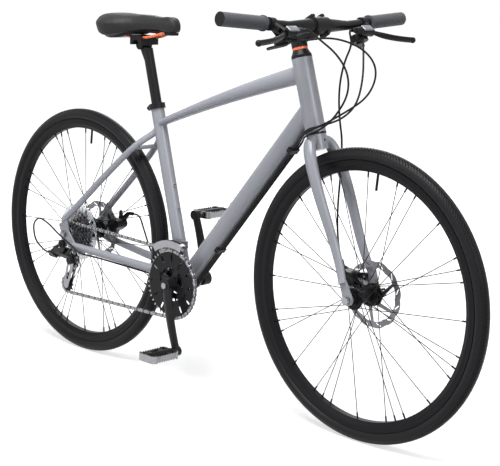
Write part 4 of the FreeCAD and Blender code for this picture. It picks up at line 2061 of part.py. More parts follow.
def steering_cables():
    right_brake = lead_out(brake_outlet(-1), brake_heading(-1)) + loop(REAR_BRAKE_SHARES)
    left_brake = lead_out(brake_outlet(1), brake_heading(1)) + loop(FRONT_BRAKE_SHARES)
    right_shift = lead_out(shift_outlet(-1), shift_heading(-1)) + loop(REAR_SHIFT_SHARES)
    left_shift = lead_out(shift_outlet(1), shift_heading(1)) + loop(FRONT_SHIFT_SHARES)
    routes = [
        right_brake + down_lead(2),
        right_shift + down_lead(0),
        left_shift + down_lead(1),
        left_brake + front_brake_drop()]
    return [cord(route, HOUSING_RADIUS) for route in routes]


def front_brake_drop():
    """Rest of the front brake's housing, down behind the left blade to the caliper's sleeve."""
    stop = cable_stop(FRONT, FRONT_CALIPER_ANGLE, FRONT_ROTOR_Y, FRONT_ARM_ANGLE)
    along = level(FRONT_ARM_ANGLE - 90)
    mouth = stop + along * (CABLE_STOP_LENGTH * 0.5)
    above = stop + along * (CABLE_STOP_LENGTH * 5)
    return [above, mouth]


def stay_line(along, out):
    """Place under a chainstay, in shares of its length and spread."""
    root = BB + UP * CHAINSTAY_BB_RISE
    tip = REAR + V(CHAINSTAY_END_FORE, 0, -CHAINSTAY_END_DROP)
    depth = CHAINSTAY_DEPTH + (CHAINSTAY_END_DEPTH - CHAINSTAY_DEPTH) * along + HOUSING_RADIUS + SEAT_GAP
    return side(root + (tip - root) * along - UP * depth, CHAINSTAY_SPREAD * out)


def shell_lane(number):
    """Housing along the down tube and under the crank's shell."""
    y = DOWN_LANES[number]
    low = side(BB - UP * (SHELL_RADIUS + HOUSING_RADIUS * 2 + SEAT_GAP), y)
    reach = FORE * (SHELL_RADIUS * GUIDE_SHARE)
    return [under_down(DOWN_STOP - SEAT_GAP, y), under_down(GUIDE_RUN, y), low + reach, low - reach]


def rear_brake_route():
    stop = cable_stop(REAR, REAR_CALIPER_ANGLE, REAR_ROTOR_Y, REAR_ARM_ANGLE)
    ahead = level(REAR_ARM_ANGLE - 90)
    mouth = stop + ahead * (CABLE_STOP_LENGTH * 0.5)
    lead = stop + ahead * (CABLE_STOP_LENGTH * 3)
    stay = [stay_line(along, out) for along, out in BRAKE_STAY_SHARES]
    root = BB + UP * CHAINSTAY_BB_RISE
    tip = REAR + V(CHAINSTAY_END_FORE, 0, -CHAINSTAY_END_DROP)
    along, out = BRAKE_BESIDE_SHARES
    beside = side(root + (tip - root) * along, CHAINSTAY_SPREAD * out)
    return shell_lane(2) + stay + [beside, lead, mouth]


def rear_shift_route():
    stay = [stay_line(along, -out) for along, out in STAY_SHARES]
    swing = [REAR + V(SHIFT_LOOP_REACH * ahead, -SHIFT_LOOP_OUT * out, SHIFT_LOOP_RISE * rise)
             for ahead, out, rise in SHIFT_LOOP_SHARES]
    end = (OUTER_HIGH + INNER_HIGH) * 0.5 - LINK_ALONG * (POST_REACH + BARREL_LENGTH)
    mouth = end + LINK_ALONG * (BARREL_LENGTH * SEATED_SHARE)
    return shell_lane(0) + stay + swing + [end - LINK_ALONG * BARREL_LENGTH, mouth]


def front_shift_route():
    """Up behind the seat tube to the underside of the front derailleur."""
    climb = [BB + V(-FRONT_BODY_LOW * aft, -FRONT_BODY_REACH * out, FRONT_BODY_LOW * rise)
             for aft, out, rise in FRONT_CLIMB_SHARES]
    return shell_lane(1) + climb


def cable_clips(routes):
    """Clips that hold the three housings to the down tube."""
    tube_block = limb(down_stations(), LEFT)
    lanes = [cord(route, HOUSING_RADIUS + SEAT_GAP) for route in routes]
    clips = []
    for along in (DOWN_STOP - CLIP_HALF - MOVING_GAP * 2, DOWN_STOP * CLIP_SHARE):
        low = BB + DOWN_ALONG * (along - CLIP_HALF)
        right = side(low, -CLIP_WIDTH)
        left = side(low, CLIP_WIDTH)
        under = DOWN_UNDER * CLIP_DEPTH
        corners = [right, left, left + under, right + under]
        block = Part.Face(Part.makePolygon(corners + corners[:1])).extrude(DOWN_ALONG * (CLIP_HALF * 2))
        clips.append(block.cut(tube_block).cut(Part.makeCompound(lanes)))
    return [max(clip.Solids, key=lambda solid: solid.Volume) for clip in clips]


def frame_cables():
    routes = (rear_brake_route(), rear_shift_route(), front_shift_route())
    return [cord(route, HOUSING_RADIUS) for route in routes] + cable_clips(routes)


PIECES = {
    "head_tube": head_tube, "top_tube": top_tube, "down_tube": down_tube, "seat_tube": seat_tube,
    "bottom_bracket_shell": bottom_bracket_shell, "chainstays": chainstays, "seatstays": seatstays,
    "rear_dropouts": rear_dropouts, "frame_bearings": frame_bearings, "seat_clamp": seat_clamp,
    "rear_axle": lambda: wheel_axle(
        REAR, REAR_HALF, REAR_AXLE_RADIUS, (COG_FIRST_Y - COG_SPACING / 2, REAR_HUB_ENDS[1]),
        REAR_SKEWER_ANGLE),
    "rear_brake_caliper": lambda: brake_caliper(
        REAR, REAR_CALIPER_ANGLE, REAR_ROTOR_Y, REAR_HALF, REAR_ARM_ANGLE),
    "front_derailleur_body": front_derailleur_body, "chain": chain, "frame_cables": frame_cables,
    "rear_derailleur_mount": rear_derailleur_mount, "fork": fork, "headset_spacers": headset_spacers,
    "stem": stem, "stem_faceplate": stem_faceplate, "handlebar": handlebar, "grips": grips,
    "lever_bodies": lambda: [lever_body(-1), lever_body(1)],
    "front_brake_caliper": lambda: brake_caliper(
        FRONT, FRONT_CALIPER_ANGLE, FRONT_ROTOR_Y, FRONT_HALF, FRONT_ARM_ANGLE),
    "steering_cables": steering_cables,
    "front_axle": lambda: wheel_axle(
        FRONT, FRONT_HALF, FRONT_AXLE_RADIUS, FRONT_HUB_ENDS, FRONT_SKEWER_ANGLE),
    "front_tyre": lambda: tyre(FRONT), "front_rim": lambda: rim(FRONT),
    "front_spokes": lambda: spokes(FRONT, FRONT_FLANGES),
    "front_hub": lambda: hub(FRONT, FRONT_FLANGES, FRONT_HUB_ENDS, FRONT_ROTOR_Y, FRONT_AXLE_RADIUS),
    "front_rotor": lambda: rotor(FRONT, FRONT_ROTOR_Y),
    "rear_tyre": lambda: tyre(REAR), "rear_rim": lambda: rim(REAR),
    "rear_spokes": lambda: spokes(REAR, REAR_FLANGES),
    "rear_hub": lambda: [
        hub(REAR, REAR_FLANGES, REAR_HUB_ENDS, REAR_ROTOR_Y, REAR_AXLE_RADIUS), spoke_protector()],
    "rear_rotor": lambda: rotor(REAR, REAR_ROTOR_Y),
    "cassette": cassette, "crank_spindle": crank_spindle, "crank_arms": crank_arms,
    "chainrings": chainrings,
    "right_pedal": lambda: pedal(-1), "left_pedal": lambda: pedal(1),
    "seatpost": seatpost, "saddle_cover": saddle_cover, "saddle_rails": saddle_rails,
    "right_brake_lever": lambda: brake_lever(-1), "left_brake_lever": lambda: brake_lever(1),
    "right_shift_lever": lambda: shift_lever(-1), "left_shift_lever": lambda: shift_lever(1),
    "front_brake_arm": lambda: brake_arm(FRONT, FRONT_CALIPER_ANGLE, FRONT_ROTOR_Y, FRONT_ARM_ANGLE),
    "rear_brake_arm": lambda: brake_arm(REAR, REAR_CALIPER_ANGLE, REAR_ROTOR_Y, REAR_ARM_ANGLE),
    "derailleur_outer_link": lambda: mech_link(OUTER_HIGH, OUTER_LOW),
    "derailleur_inner_link": lambda: mech_link(INNER_HIGH, INNER_LOW),
    "derailleur_knuckle": derailleur_knuckle, "derailleur_cage": derailleur_cage,
    "guide_pulley": lambda: pulley(GUIDE, 3), "tension_pulley": lambda: pulley(TENSION, 2),
    "front_derailleur_cage": front_derailleur_cage,
    "front_skewer_lever": lambda: skewer_lever(FRONT, FRONT_HALF, FRONT_SKEWER_ANGLE),
    "rear_skewer_lever": lambda: skewer_lever(REAR, REAR_HALF, REAR_SKEWER_ANGLE),
}

os.makedirs("parts", exist_ok=True)
for name, build in PIECES.items():
    made = build()
    shape = Part.makeCompound(made) if isinstance(made, list) else made
    shape.exportStep("parts/" + name + ".step")
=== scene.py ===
from math import cos, hypot, pi, radians, sin

import bpy
from mathutils import Matrix, Vector


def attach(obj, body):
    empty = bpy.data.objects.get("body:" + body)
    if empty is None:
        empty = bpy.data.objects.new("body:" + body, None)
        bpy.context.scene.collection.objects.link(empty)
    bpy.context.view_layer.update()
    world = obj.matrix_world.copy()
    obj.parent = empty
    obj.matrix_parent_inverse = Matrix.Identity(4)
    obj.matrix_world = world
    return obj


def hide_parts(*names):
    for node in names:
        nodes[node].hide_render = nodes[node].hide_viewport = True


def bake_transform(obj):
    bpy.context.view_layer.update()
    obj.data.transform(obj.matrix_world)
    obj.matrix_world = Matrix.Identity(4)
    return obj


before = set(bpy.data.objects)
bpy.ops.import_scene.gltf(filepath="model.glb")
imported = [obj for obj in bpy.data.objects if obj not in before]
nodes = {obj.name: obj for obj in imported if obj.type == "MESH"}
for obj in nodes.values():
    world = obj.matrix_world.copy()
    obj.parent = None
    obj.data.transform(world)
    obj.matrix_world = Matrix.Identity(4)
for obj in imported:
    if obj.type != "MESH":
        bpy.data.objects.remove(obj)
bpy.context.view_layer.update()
scene = bpy.context.scene
scene.view_settings.view_transform = "Standard"

# Studio: a pale floor that runs out to white, with large soft lamps above and beside the bike.
# The camera stands at the bike's front right, a little above the bar.
CAMERA_PLACE = Vector((2.3475, -2.2688, 1.0467))
CAMERA_YAW = radians(134.20)
CAMERA_PITCH = radians(-10.91)
CAMERA_ROLL = radians(1.56)
FRAME_PIXELS = 500
FOCAL_PIXELS = 1302.9
SENSOR_WIDTH = 36.0
FLOOR_SIZE = 60.0
FLOOR_DROP = 0.0006
FLOOR_COLOUR = (0.56, 0.56, 0.57, 1)
FLOOR_ROUGHNESS = 0.9
FLOOR_FADE = {"From Min": 0.7, "From Max": 2.6, "To Min": 0.62, "To Max": 1.0}
WORLD_LIGHT = (0.80, 0.82, 0.86, 1)
WORLD_STRENGTH = 0.10
WHITE = (1, 1, 1, 1)
LAMPS = (
    ("softbox_over", (0.4, -1.2, 3.4), (0.0, 0.0, 0.4), 2.4, 190.0),
    ("softbox_front", (3.6, -0.6, 1.9), (0.0, 0.0, 0.5), 1.6, 40.0),
    ("softbox_side", (-1.6, -3.4, 1.7), (0.0, 0.0, 0.5), 1.6, 22.0),
    ("softbox_behind", (-2.2, 2.6, 2.4), (0.0, 0.0, 0.6), 2.0, 34.0))

ahead = Vector((cos(CAMERA_PITCH) * cos(CAMERA_YAW), cos(CAMERA_PITCH) * sin(CAMERA_YAW), sin(CAMERA_PITCH)))
level_right = Vector((sin(CAMERA_YAW), -cos(CAMERA_YAW), 0))
level_up = level_right.cross(ahead)
camera_right = level_right * cos(CAMERA_ROLL) + level_up * sin(CAMERA_ROLL)
camera_up = level_up * cos(CAMERA_ROLL) - level_right * sin(CAMERA_ROLL)
camera_data = bpy.data.cameras.new("studio_camera")
camera_data.sensor_fit = "HORIZONTAL"
camera_data.sensor_width = SENSOR_WIDTH
camera_data.lens = SENSOR_WIDTH * FOCAL_PIXELS / FRAME_PIXELS
camera_data.clip_end = FLOOR_SIZE
camera = bpy.data.objects.new("studio_camera", camera_data)
scene.collection.objects.link(camera)
camera.matrix_world = Matrix.Translation(CAMERA_PLACE) @ Matrix(
    (camera_right, camera_up, -ahead)).transposed().to_4x4()
scene.camera = camera

for name, place, target, size, power in LAMPS:
    lamp_data = bpy.data.lights.new(name, "AREA")
    lamp_data.shape = "DISK"
    lamp_data.size = size
    lamp_data.energy = power
    lamp = bpy.data.objects.new(name, lamp_data)
    scene.collection.objects.link(lamp)
    lamp.location = place
    lamp.rotation_euler = (Vector(target) - Vector(place)).to_track_quat("-Z", "Y").to_euler()


def math_node(tree, operation, first, second):
    """Result of a sum on two numbers or sockets."""
    node = tree.nodes.new("ShaderNodeMath")
    node.operation = operation
    for value, socket in zip((first, second), node.inputs):
        if isinstance(value, bpy.types.NodeSocket):
            tree.links.new(value, socket)
        else:
            socket.default_value = value
    return node.outputs[0]


def seen_directly(tree):
    """Value of 1 for rays that come from the camera, a mirror or clear plastic, and 0 for the rest."""
    rays = tree.nodes.new("ShaderNodeLightPath").outputs
    seen = math_node(tree, "MAXIMUM", rays["Is Camera Ray"], rays["Is Glossy Ray"])
    return math_node(tree, "MAXIMUM", seen, rays["Is Transmission Ray"])


world = bpy.data.worlds.new("white_surround")
scene.world = world
world.use_nodes = True
sky = world.node_tree
sky.nodes["Background"].inputs["Color"].default_value = WORLD_LIGHT
sky.nodes["Background"].inputs["Strength"].default_value = WORLD_STRENGTH
white = sky.nodes.new("ShaderNodeBackground")
white.inputs["Color"].default_value = WHITE
sky_mix = sky.nodes.new("ShaderNodeMixShader")
sky.links.new(seen_directly(sky), sky_mix.inputs[0])
sky.links.new(sky.nodes["Background"].outputs[0], sky_mix.inputs[1])
sky.links.new(white.outputs[0], sky_mix.inputs[2])
sky.links.new(sky_mix.outputs[0], sky.nodes["World Output"].inputs["Surface"])

bpy.ops.object.select_all(action="DESELECT")
bpy.ops.mesh.primitive_plane_add(size=FLOOR_SIZE, location=(0, 0, -FLOOR_DROP))
floor = bpy.context.object
floor.name = "studio_floor"
floor_paint = bpy.data.materials.new("pale_floor")
floor_paint.use_nodes = True
floor_tree = floor_paint.node_tree
floor_shader = floor_tree.nodes["Principled BSDF"]
floor_shader.inputs["Base Color"].default_value = FLOOR_COLOUR
floor_shader.inputs["Roughness"].default_value = FLOOR_ROUGHNESS
floor_shader.inputs["Specular IOR Level"].default_value = 0.0
floor_place = floor_tree.nodes.new("ShaderNodeTexCoord")
floor_reach = floor_tree.nodes.new("ShaderNodeVectorMath")
floor_reach.operation = "LENGTH"
floor_tree.links.new(floor_place.outputs["Object"], floor_reach.inputs[0])
floor_fade = floor_tree.nodes.new("ShaderNodeMapRange")
for label, value in FLOOR_FADE.items():
    floor_fade.inputs[label].default_value = value
floor_tree.links.new(floor_reach.outputs["Value"], floor_fade.inputs["Value"])
floor_glow = math_node(floor_tree, "MULTIPLY", seen_directly(floor_tree), floor_fade.outputs[0])
floor_shader.inputs["Emission Color"].default_value = WHITE
floor_tree.links.new(floor_glow, floor_shader.inputs["Emission Strength"])
floor.data.materials.append(floor_paint)

# Frame and fork: shaped alloy tubes, welded and filed smooth, then sprayed a cool satin grey.
# The paint has a fine metal flake under a thin satin clear coat.
FRAME_GREY = (0.245, 0.252, 0.282, 1)
FLAKE_SCALE = 2600.0
CLOUD_SCALE = 7.0
CLOUD_DETAIL = 5.0
GRAIN_DETAIL = 2.0
COAT_ROUGHNESS = 0.2


def shader_group(name, inputs, outputs):
    """Empty node group with its sockets, and its input and output nodes."""
    group = bpy.data.node_groups.new(name, "ShaderNodeTree")
    for label, kind, value in inputs:
        socket = group.interface.new_socket(label, in_out="INPUT", socket_type="NodeSocket" + kind)
        socket.default_value = value
    for label, kind in outputs:
        group.interface.new_socket(label, in_out="OUTPUT", socket_type="NodeSocket" + kind)
    return group, group.nodes.new("NodeGroupInput"), group.nodes.new("NodeGroupOutput")


def noise_node(tree, scale, detail):
    """Noise over the piece's own coordinates, with its scale from a socket."""
    place = tree.nodes.new("ShaderNodeTexCoord")
    noise = tree.nodes.new("ShaderNodeTexNoise")
    noise.inputs["Detail"].default_value = detail
    tree.links.new(place.outputs["Object"], noise.inputs["Vector"])
    tree.links.new(scale, noise.inputs["Scale"])
    return noise.outputs["Fac"]


def make_cloudy_group():
    """Slow drift of colour and roughness over a surface, as spray, moulding and handling leave it."""
    group, given, out = shader_group(
        "cloudy_finish",
        (("Colour", "Color", FRAME_GREY), ("Colour Drift", "Float", 0.1), ("Roughness", "Float", 0.4),
         ("Roughness Drift", "Float", 0.1), ("Scale", "Float", CLOUD_SCALE)),
        (("Colour", "Color"), ("Roughness", "Float")))
    cloud = noise_node(group, given.outputs["Scale"], CLOUD_DETAIL)
    swing = math_node(group, "SUBTRACT", cloud, 0.5)
    brighter = math_node(group, "MULTIPLY", swing, given.outputs["Colour Drift"])
    tint = group.nodes.new("ShaderNodeVectorMath")
    tint.operation = "SCALE"
    group.links.new(given.outputs["Colour"], tint.inputs[0])
    group.links.new(math_node(group, "ADD", brighter, 1.0), tint.inputs["Scale"])
    group.links.new(tint.outputs[0], out.inputs["Colour"])
    duller = math_node(group, "MULTIPLY", swing, given.outputs["Roughness Drift"])
    group.links.new(math_node(group, "ADD", duller, given.outputs["Roughness"]), out.inputs["Roughness"])
    return group


def make_grain_group():
    """Fine even grain of a surface, as small bumps."""
    group, given, out = shader_group(
        "fine_grain",
        (("Scale", "Float", 1000.0), ("Depth", "Float", 0.0001), ("Strength", "Float", 0.2)),
        (("Normal", "Vector"),))
    grain = noise_node(group, given.outputs["Scale"], GRAIN_DETAIL)
    bump = group.nodes.new("ShaderNodeBump")
    group.links.new(given.outputs["Strength"], bump.inputs["Strength"])
    group.links.new(given.outputs["Depth"], bump.inputs["Distance"])
    group.links.new(grain, bump.inputs["Height"])
    group.links.new(bump.outputs[0], out.inputs["Normal"])
    return group


cloudy_group = make_cloudy_group()
grain_group = make_grain_group()


def place_group(tree, group, **values):
    """Node group in a material, with its own values."""
    node = tree.nodes.new("ShaderNodeGroup")
    node.node_tree = group
    for label, value in values.items():
        node.inputs[label.replace("_", " ")].default_value = value
    return node


def finish(name, colour, roughness, metal=0.0, drift=0.12, roughness_drift=0.12, cloud=CLOUD_SCALE,
           grain=900.0, depth=0.00005, strength=0.15, coat=0.0, specular=0.5):
    """Material with the cloudy and grain groups, on one plain shader."""
    material = bpy.data.materials.new(name)
    material.use_nodes = True
    tree = material.node_tree
    shader = tree.nodes["Principled BSDF"]
    shader.inputs["Metallic"].default_value = metal
    shader.inputs["Specular IOR Level"].default_value = specular
    shader.inputs["Coat Weight"].default_value = coat
    shader.inputs["Coat Roughness"].default_value = COAT_ROUGHNESS
    look = place_group(tree, cloudy_group, Colour=colour, Colour_Drift=drift, Roughness=roughness,
                       Roughness_Drift=roughness_drift, Scale=cloud)
    tree.links.new(look.outputs["Colour"], shader.inputs["Base Color"])
    tree.links.new(look.outputs["Roughness"], shader.inputs["Roughness"])
    bumps = place_group(tree, grain_group, Scale=grain, Depth=depth, Strength=strength)
    tree.links.new(bumps.outputs["Normal"], shader.inputs["Normal"])
    return material


def dress(material, *names):
    """Gives whole pieces their material."""
    for name in names:
        mesh = nodes[name].data
        mesh.materials.clear()
        mesh.materials.append(material)
        mesh.polygons.foreach_set("material_index", [0] * len(mesh.polygons))


frame_paint = finish("satin_grey_paint", FRAME_GREY, roughness=0.30, metal=0.10, drift=0.10, grain=FLAKE_SCALE,
                     depth=0.00002, strength=0.1, coat=0.08, specular=0.3)
dress(frame_paint, "head_tube", "top_tube", "down_tube", "seat_tube", "bottom_bracket_shell", "chainstays",
      "seatstays", "rear_dropouts", "fork")

# Headset, stem and bar: turned alloy cover, orange spacer ring and black cap on the steerer,
# with a forged black stem that clamps a butted black bar behind a four-bolt plate.
# The cups pressed into the head tube and the bottom bracket are the same black alloy.
ANODISED_BLACK = (0.008, 0.008, 0.009, 1)
ACCENT_ORANGE = (0.70, 0.115, 0.028, 1)
HEAD_LOW = Vector((0.34624, 0, 0.70550))
STEER_UP = Vector((-0.292372, 0, 0.956305))
RING_LOW = 0.1967
RING_HIGH = 0.2100


def dress_where(material, name, test):
    """Gives a piece's faces whose middle passes the test a second material."""
    mesh = nodes[name].data
    mesh.materials.append(material)
    for polygon in mesh.polygons:
        if test(polygon.center):
            polygon.material_index = len(mesh.materials) - 1


black_alloy = finish("anodised_black", ANODISED_BLACK, roughness=0.36, drift=0.3, grain=1500.0, strength=0.25,
                     specular=0.15)
accent_orange = finish("accent_orange", ACCENT_ORANGE, roughness=0.32, drift=0.10, coat=0.4)
dress(black_alloy, "headset_spacers", "stem", "stem_faceplate", "handlebar", "frame_bearings")
dress_where(accent_orange, "headset_spacers",
            lambda middle: RING_LOW < (middle - HEAD_LOW).dot(STEER_UP) < RING_HIGH)

# Brake levers and shifters: forged black levers on moulded plastic housings, clamped to the bar.
# The forgings are a little glossier than the plastic.
CAST_BLACK = (0.007, 0.007, 0.008, 1)
PLASTIC_BLACK = (0.007, 0.007, 0.008, 1)
cast_black = finish("cast_black", CAST_BLACK, roughness=0.34, drift=0.3, grain=700.0, depth=0.00008,
                    strength=0.3, specular=0.12)
black_plastic = finish("moulded_black", PLASTIC_BLACK, roughness=0.45, drift=0.3, grain=1800.0, strength=0.3,
                       specular=0.14)
dress(cast_black, "right_brake_lever", "left_brake_lever")
dress(black_plastic, "lever_bodies", "right_shift_lever", "left_shift_lever")

# Shifter covers: thin satin metal plates with a rounded edge.
# One is set on top of each brake and shifter housing.
COVER_SILVER = (0.19, 0.20, 0.22, 1)
COVER_PLACE = Vector((0.3760, 0.1290, 0.9396))
COVER_UP = Vector((0.545, 0, 0.839))
COVER_RISE = 0.0098
COVER_HALVES = (0.0085, 0.0165, 0.0024)
COVER_ROUNDING = 0.00216
COVER_SEGMENTS = 4
SMOOTH_ANGLE = radians(35)
cover_silver = finish("cover_silver", COVER_SILVER, roughness=0.34, metal=0.6, drift=0.2, grain=1500.0)


def shifter_cover(name, out):
    """Flat rounded plate on one housing; out is -1 on the right side and 1 on the left."""
    bpy.ops.object.select_all(action="DESELECT")
    bpy.ops.mesh.primitive_cube_add(size=2)
    piece = bpy.context.object
    piece.name = name
    across = Vector((0, 1, 0)).cross(COVER_UP)
    middle = Vector((COVER_PLACE.x, out * COVER_PLACE.y, COVER_PLACE.z)) + COVER_UP * COVER_RISE
    for vertex in piece.data.vertices:
        fore, aside, above = (share * half for share, half in zip(vertex.co, COVER_HALVES))
        vertex.co = middle + across * fore + Vector((0, aside, 0)) + COVER_UP * above
    rounding = piece.modifiers.new("rounding", "BEVEL")
    rounding.width = COVER_ROUNDING
    rounding.segments = COVER_SEGMENTS
    bpy.ops.object.modifier_apply(modifier=rounding.name)
    bpy.ops.object.mode_set(mode="EDIT")
    bpy.ops.mesh.select_all(action="SELECT")
    bpy.ops.mesh.normals_make_consistent(inside=False)
    bpy.ops.object.mode_set(mode="OBJECT")
    bpy.ops.object.shade_smooth_by_angle(angle=SMOOTH_ANGLE)
    return piece


for name, out in (("right_shifter_cover", -1), ("left_shifter_cover", 1)):
    piece = shifter_cover(name, out)
    piece.data.materials.append(cover_silver)
    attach(piece, "steering")

# Grips: soft grey rubber sleeves with a flange inside, pushed onto the bar.
# A black plastic plug closes each end.
GRIP_PLUG = 0.3092
GRIP_GREY = (0.070, 0.072, 0.078, 1)
grip_rubber = finish("grip_rubber", GRIP_GREY, roughness=0.62, drift=0.25, grain=1400.0, depth=0.0002,
                     strength=0.4, specular=0.2)
dress(grip_rubber, "grips")
dress_where(black_plastic, "grips", lambda middle: abs(middle.y) > GRIP_PLUG)

# Housings: sprung steel in black plastic, clipped along the frame and looped forward of the head tube.
# At the bar there are four: three end in the down tube's upper clip and here stay fixed, though on the bike
# they bend as the bar turns; the fourth goes down to the front caliper and turns with the bar.
HOUSING_RADIUS = 0.0024
HOUSING_SIDES = 3
HOUSING_STEPS = 8
HOUSING_ORDER = 3
HOUSING_ROUTES = {
    "rear_brake_housing": (
        (0.3752, -0.0797, 0.9432), (0.3750, -0.0681, 0.9440), (0.3955, -0.0620, 0.9276),
        (0.4288, -0.0330, 0.8939), (0.4524, -0.0180, 0.8509), (0.4543, -0.0170, 0.8034),
        (0.4335, -0.0320, 0.7552), (0.3998, -0.0400, 0.7219), (0.3515, -0.0460, 0.7019),
        (0.2990, 0.0090, 0.6796), (0.2834, 0.0090, 0.6613)),
    "rear_shift_housing": (
        (0.3804, -0.1112, 0.9213), (0.3895, -0.1039, 0.9213), (0.4196, -0.0420, 0.9308),
        (0.4628, 0.0030, 0.9126), (0.4917, 0.0240, 0.8796), (0.5015, 0.0220, 0.8408),
        (0.4896, 0.0050, 0.7974), (0.4496, -0.0170, 0.7643), (0.3988, -0.0340, 0.7320),
        (0.3454, -0.0385, 0.7084), (0.2990, -0.0090, 0.6796), (0.2834, -0.0090, 0.6613)),
    "front_shift_housing": (
        (0.3804, 0.1112, 0.9213), (0.3895, 0.1039, 0.9213), (0.4111, 0.0820, 0.8968),
        (0.4318, 0.0600, 0.8362), (0.4392, 0.0330, 0.7778), (0.4219, 0.0060, 0.7454),
        (0.3854, -0.0180, 0.7279), (0.3395, -0.0330, 0.7139), (0.2990, 0.0000, 0.6796),
        (0.2834, 0.0000, 0.6613)),
    "front_brake_housing": (
        (0.3752, 0.0797, 0.9432), (0.3750, 0.0681, 0.9440), (0.3773, 0.0820, 0.9116),
        (0.3636, 0.0700, 0.8677), (0.3564, 0.0640, 0.8090), (0.3604, 0.0640, 0.7412),
        (0.3732, 0.0680, 0.6719), (0.3655, 0.0598, 0.4547), (0.3911, 0.0598, 0.3972))}


def select_only(piece):
    """Makes one piece the only selected one, and the active one."""
    bpy.ops.object.select_all(action="DESELECT")
    piece.select_set(True)
    bpy.context.view_layer.objects.active = piece


def housing(name, route):
    """Round housing along a smooth line, as a closed mesh."""
    line = bpy.data.curves.new(name, "CURVE")
    line.dimensions = "3D"
    spline = line.splines.new("NURBS")
    spline.points.add(len(route) - 1)
    for point, place in zip(spline.points, route):
        point.co = (*place, 1)
    spline.order_u = HOUSING_ORDER
    spline.use_endpoint_u = True
    spline.resolution_u = HOUSING_STEPS
    line.bevel_depth = HOUSING_RADIUS
    line.bevel_resolution = HOUSING_SIDES
    line.use_fill_caps = True
    piece = bpy.data.objects.new(name, line)
    scene.collection.objects.link(piece)
    select_only(piece)
    bpy.ops.object.convert(target="MESH")
    bpy.ops.object.shade_smooth()
    return bpy.context.object


dress(black_plastic, "frame_cables", "steering_cables")
for name, route in HOUSING_ROUTES.items():
    piece = housing(name, route)
    piece.data.materials.append(black_plastic)
    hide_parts("steering_cables")
    if name == "front_brake_housing":
        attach(piece, "steering")
    else:
        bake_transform(piece)

# Brakes: die-cast black calipers with a turning arm, bolted to the fork and the left stays.
# They close on rotors cut from sheet steel; rolling and brushing leave the steel an uneven gloss.
CALIPER_BOLT_SIZE = 0.03
STEEL = (0.27, 0.27, 0.28, 1)
ROTOR_STEEL = (0.17, 0.17, 0.18, 1)
SAME_SPOT_DIGITS = 6


def loose_parts(mesh):
    """Faces of each separate solid in a piece."""
    spots = [tuple(round(value, SAME_SPOT_DIGITS) for value in vertex.co) for vertex in mesh.vertices]
    leader = {spot: spot for spot in spots}

    def find(spot):
        while leader[spot] != spot:
            leader[spot] = leader[leader[spot]]
            spot = leader[spot]
        return spot

    for polygon in mesh.polygons:
        first = find(spots[polygon.vertices[0]])
        for corner in polygon.vertices[1:]:
            leader[find(spots[corner])] = first
    parts = {}
    for polygon in mesh.polygons:
        parts.setdefault(find(spots[polygon.vertices[0]]), []).append(polygon)
    return list(parts.values())


def box_of(mesh, faces):
    """Low and high corner of the box round some faces."""
    spots = [mesh.vertices[corner].co for face in faces for corner in face.vertices]
    return Vector(map(min, zip(*spots))), Vector(map(max, zip(*spots)))


def dress_parts(material, name, test):
    """Gives a second material to the solids of a piece whose size passes the test."""
    mesh = nodes[name].data
    mesh.materials.append(material)
    for faces in loose_parts(mesh):
        low, high = box_of(mesh, faces)
        if test(high - low):
            for face in faces:
                face.material_index = len(mesh.materials) - 1


steel = finish("bright_steel", STEEL, roughness=0.30, metal=1.0, drift=0.35, roughness_drift=0.3, cloud=60.0,
               grain=2200.0)
rotor_steel = finish("rotor_steel", ROTOR_STEEL, roughness=0.34, metal=1.0, drift=0.4, roughness_drift=0.3,
                     cloud=90.0, grain=2600.0)
dress(rotor_steel, "front_rotor", "rear_rotor")
dress(cast_black, "front_brake_caliper", "rear_brake_caliper", "front_brake_arm", "rear_brake_arm")
for name in ("front_brake_caliper", "rear_brake_caliper"):
    dress_parts(steel, name, lambda size: max(size) < CALIPER_BOLT_SIZE)

# Crankset: forged black arms on a steel spindle, with plated pedal axles screwed into their ends.
# Three stamped rings are bolted to the right arm, blackened, with teeth worn bright by the chain.
PEDAL_AXLE_WIDTH = 0.03
RING_BLACK = (0.007, 0.007, 0.008, 1)
RING_ROOTS = ((-0.0500, 0.0855), (-0.0400, 0.0605), (-0.0300, 0.0410))
RING_REACH = 0.0055
RING_BOLT_SIZE = 0.02
CRANK_AXLE = Vector((-0.08711, 0, 0.272))


def from_axle(middle, axle):
    """Distance of a place from an axle that lies across the bike."""
    return hypot(middle.x - axle.x, middle.z - axle.z)


def on_tooth(middle):
    """True beyond the tooth roots of the ring that a place lies on; the rings go from outside to inside."""
    root = next(root for side, root in RING_ROOTS if middle.y < side + RING_REACH)
    return from_axle(middle, CRANK_AXLE) > root


dress(black_alloy, "crank_arms")
dress_parts(steel, "crank_arms", lambda size: size.x < PEDAL_AXLE_WIDTH)
dress(steel, "crank_spindle")
ring_black = finish("ring_black", RING_BLACK, roughness=0.36, drift=0.3, specular=0.12)
dress(ring_black, "chainrings")
dress_where(steel, "chainrings", on_tooth)
dress_parts(steel, "chainrings", lambda size: max(size) < RING_BOLT_SIZE)

# Pedals: a black moulded barrel with two cross bars, turning on the pedal axle.
# Round it goes a bent steel cage with sawn teeth.
PEDAL_PLATE = 0.0042
dress(steel, "right_pedal", "left_pedal")
for name in ("right_pedal", "left_pedal"):
    low, high = box_of(nodes[name].data, nodes[name].data.polygons)
    dress_where(black_plastic, name, lambda middle: all(
        low[axis] + PEDAL_PLATE < middle[axis] < high[axis] - PEDAL_PLATE for axis in (0, 1)))

# Chain and cogs: pressed steel links on riveted pins, bright outside and dark between the plates,
# on plated steel cogs. The links round the two pulleys swing with the derailleur's cage,
# and the others stay with the frame.
DARK_STEEL = (0.09, 0.09, 0.10, 1)
INNER_LINK_WIDTH = 0.0055
CAGED_BELOW = 0.295
CAGED_BEHIND = -0.470
LOWER_RUN_START = -0.517
LOWER_RUN_TOP = 0.176
MERGE_GAP = 0.00001


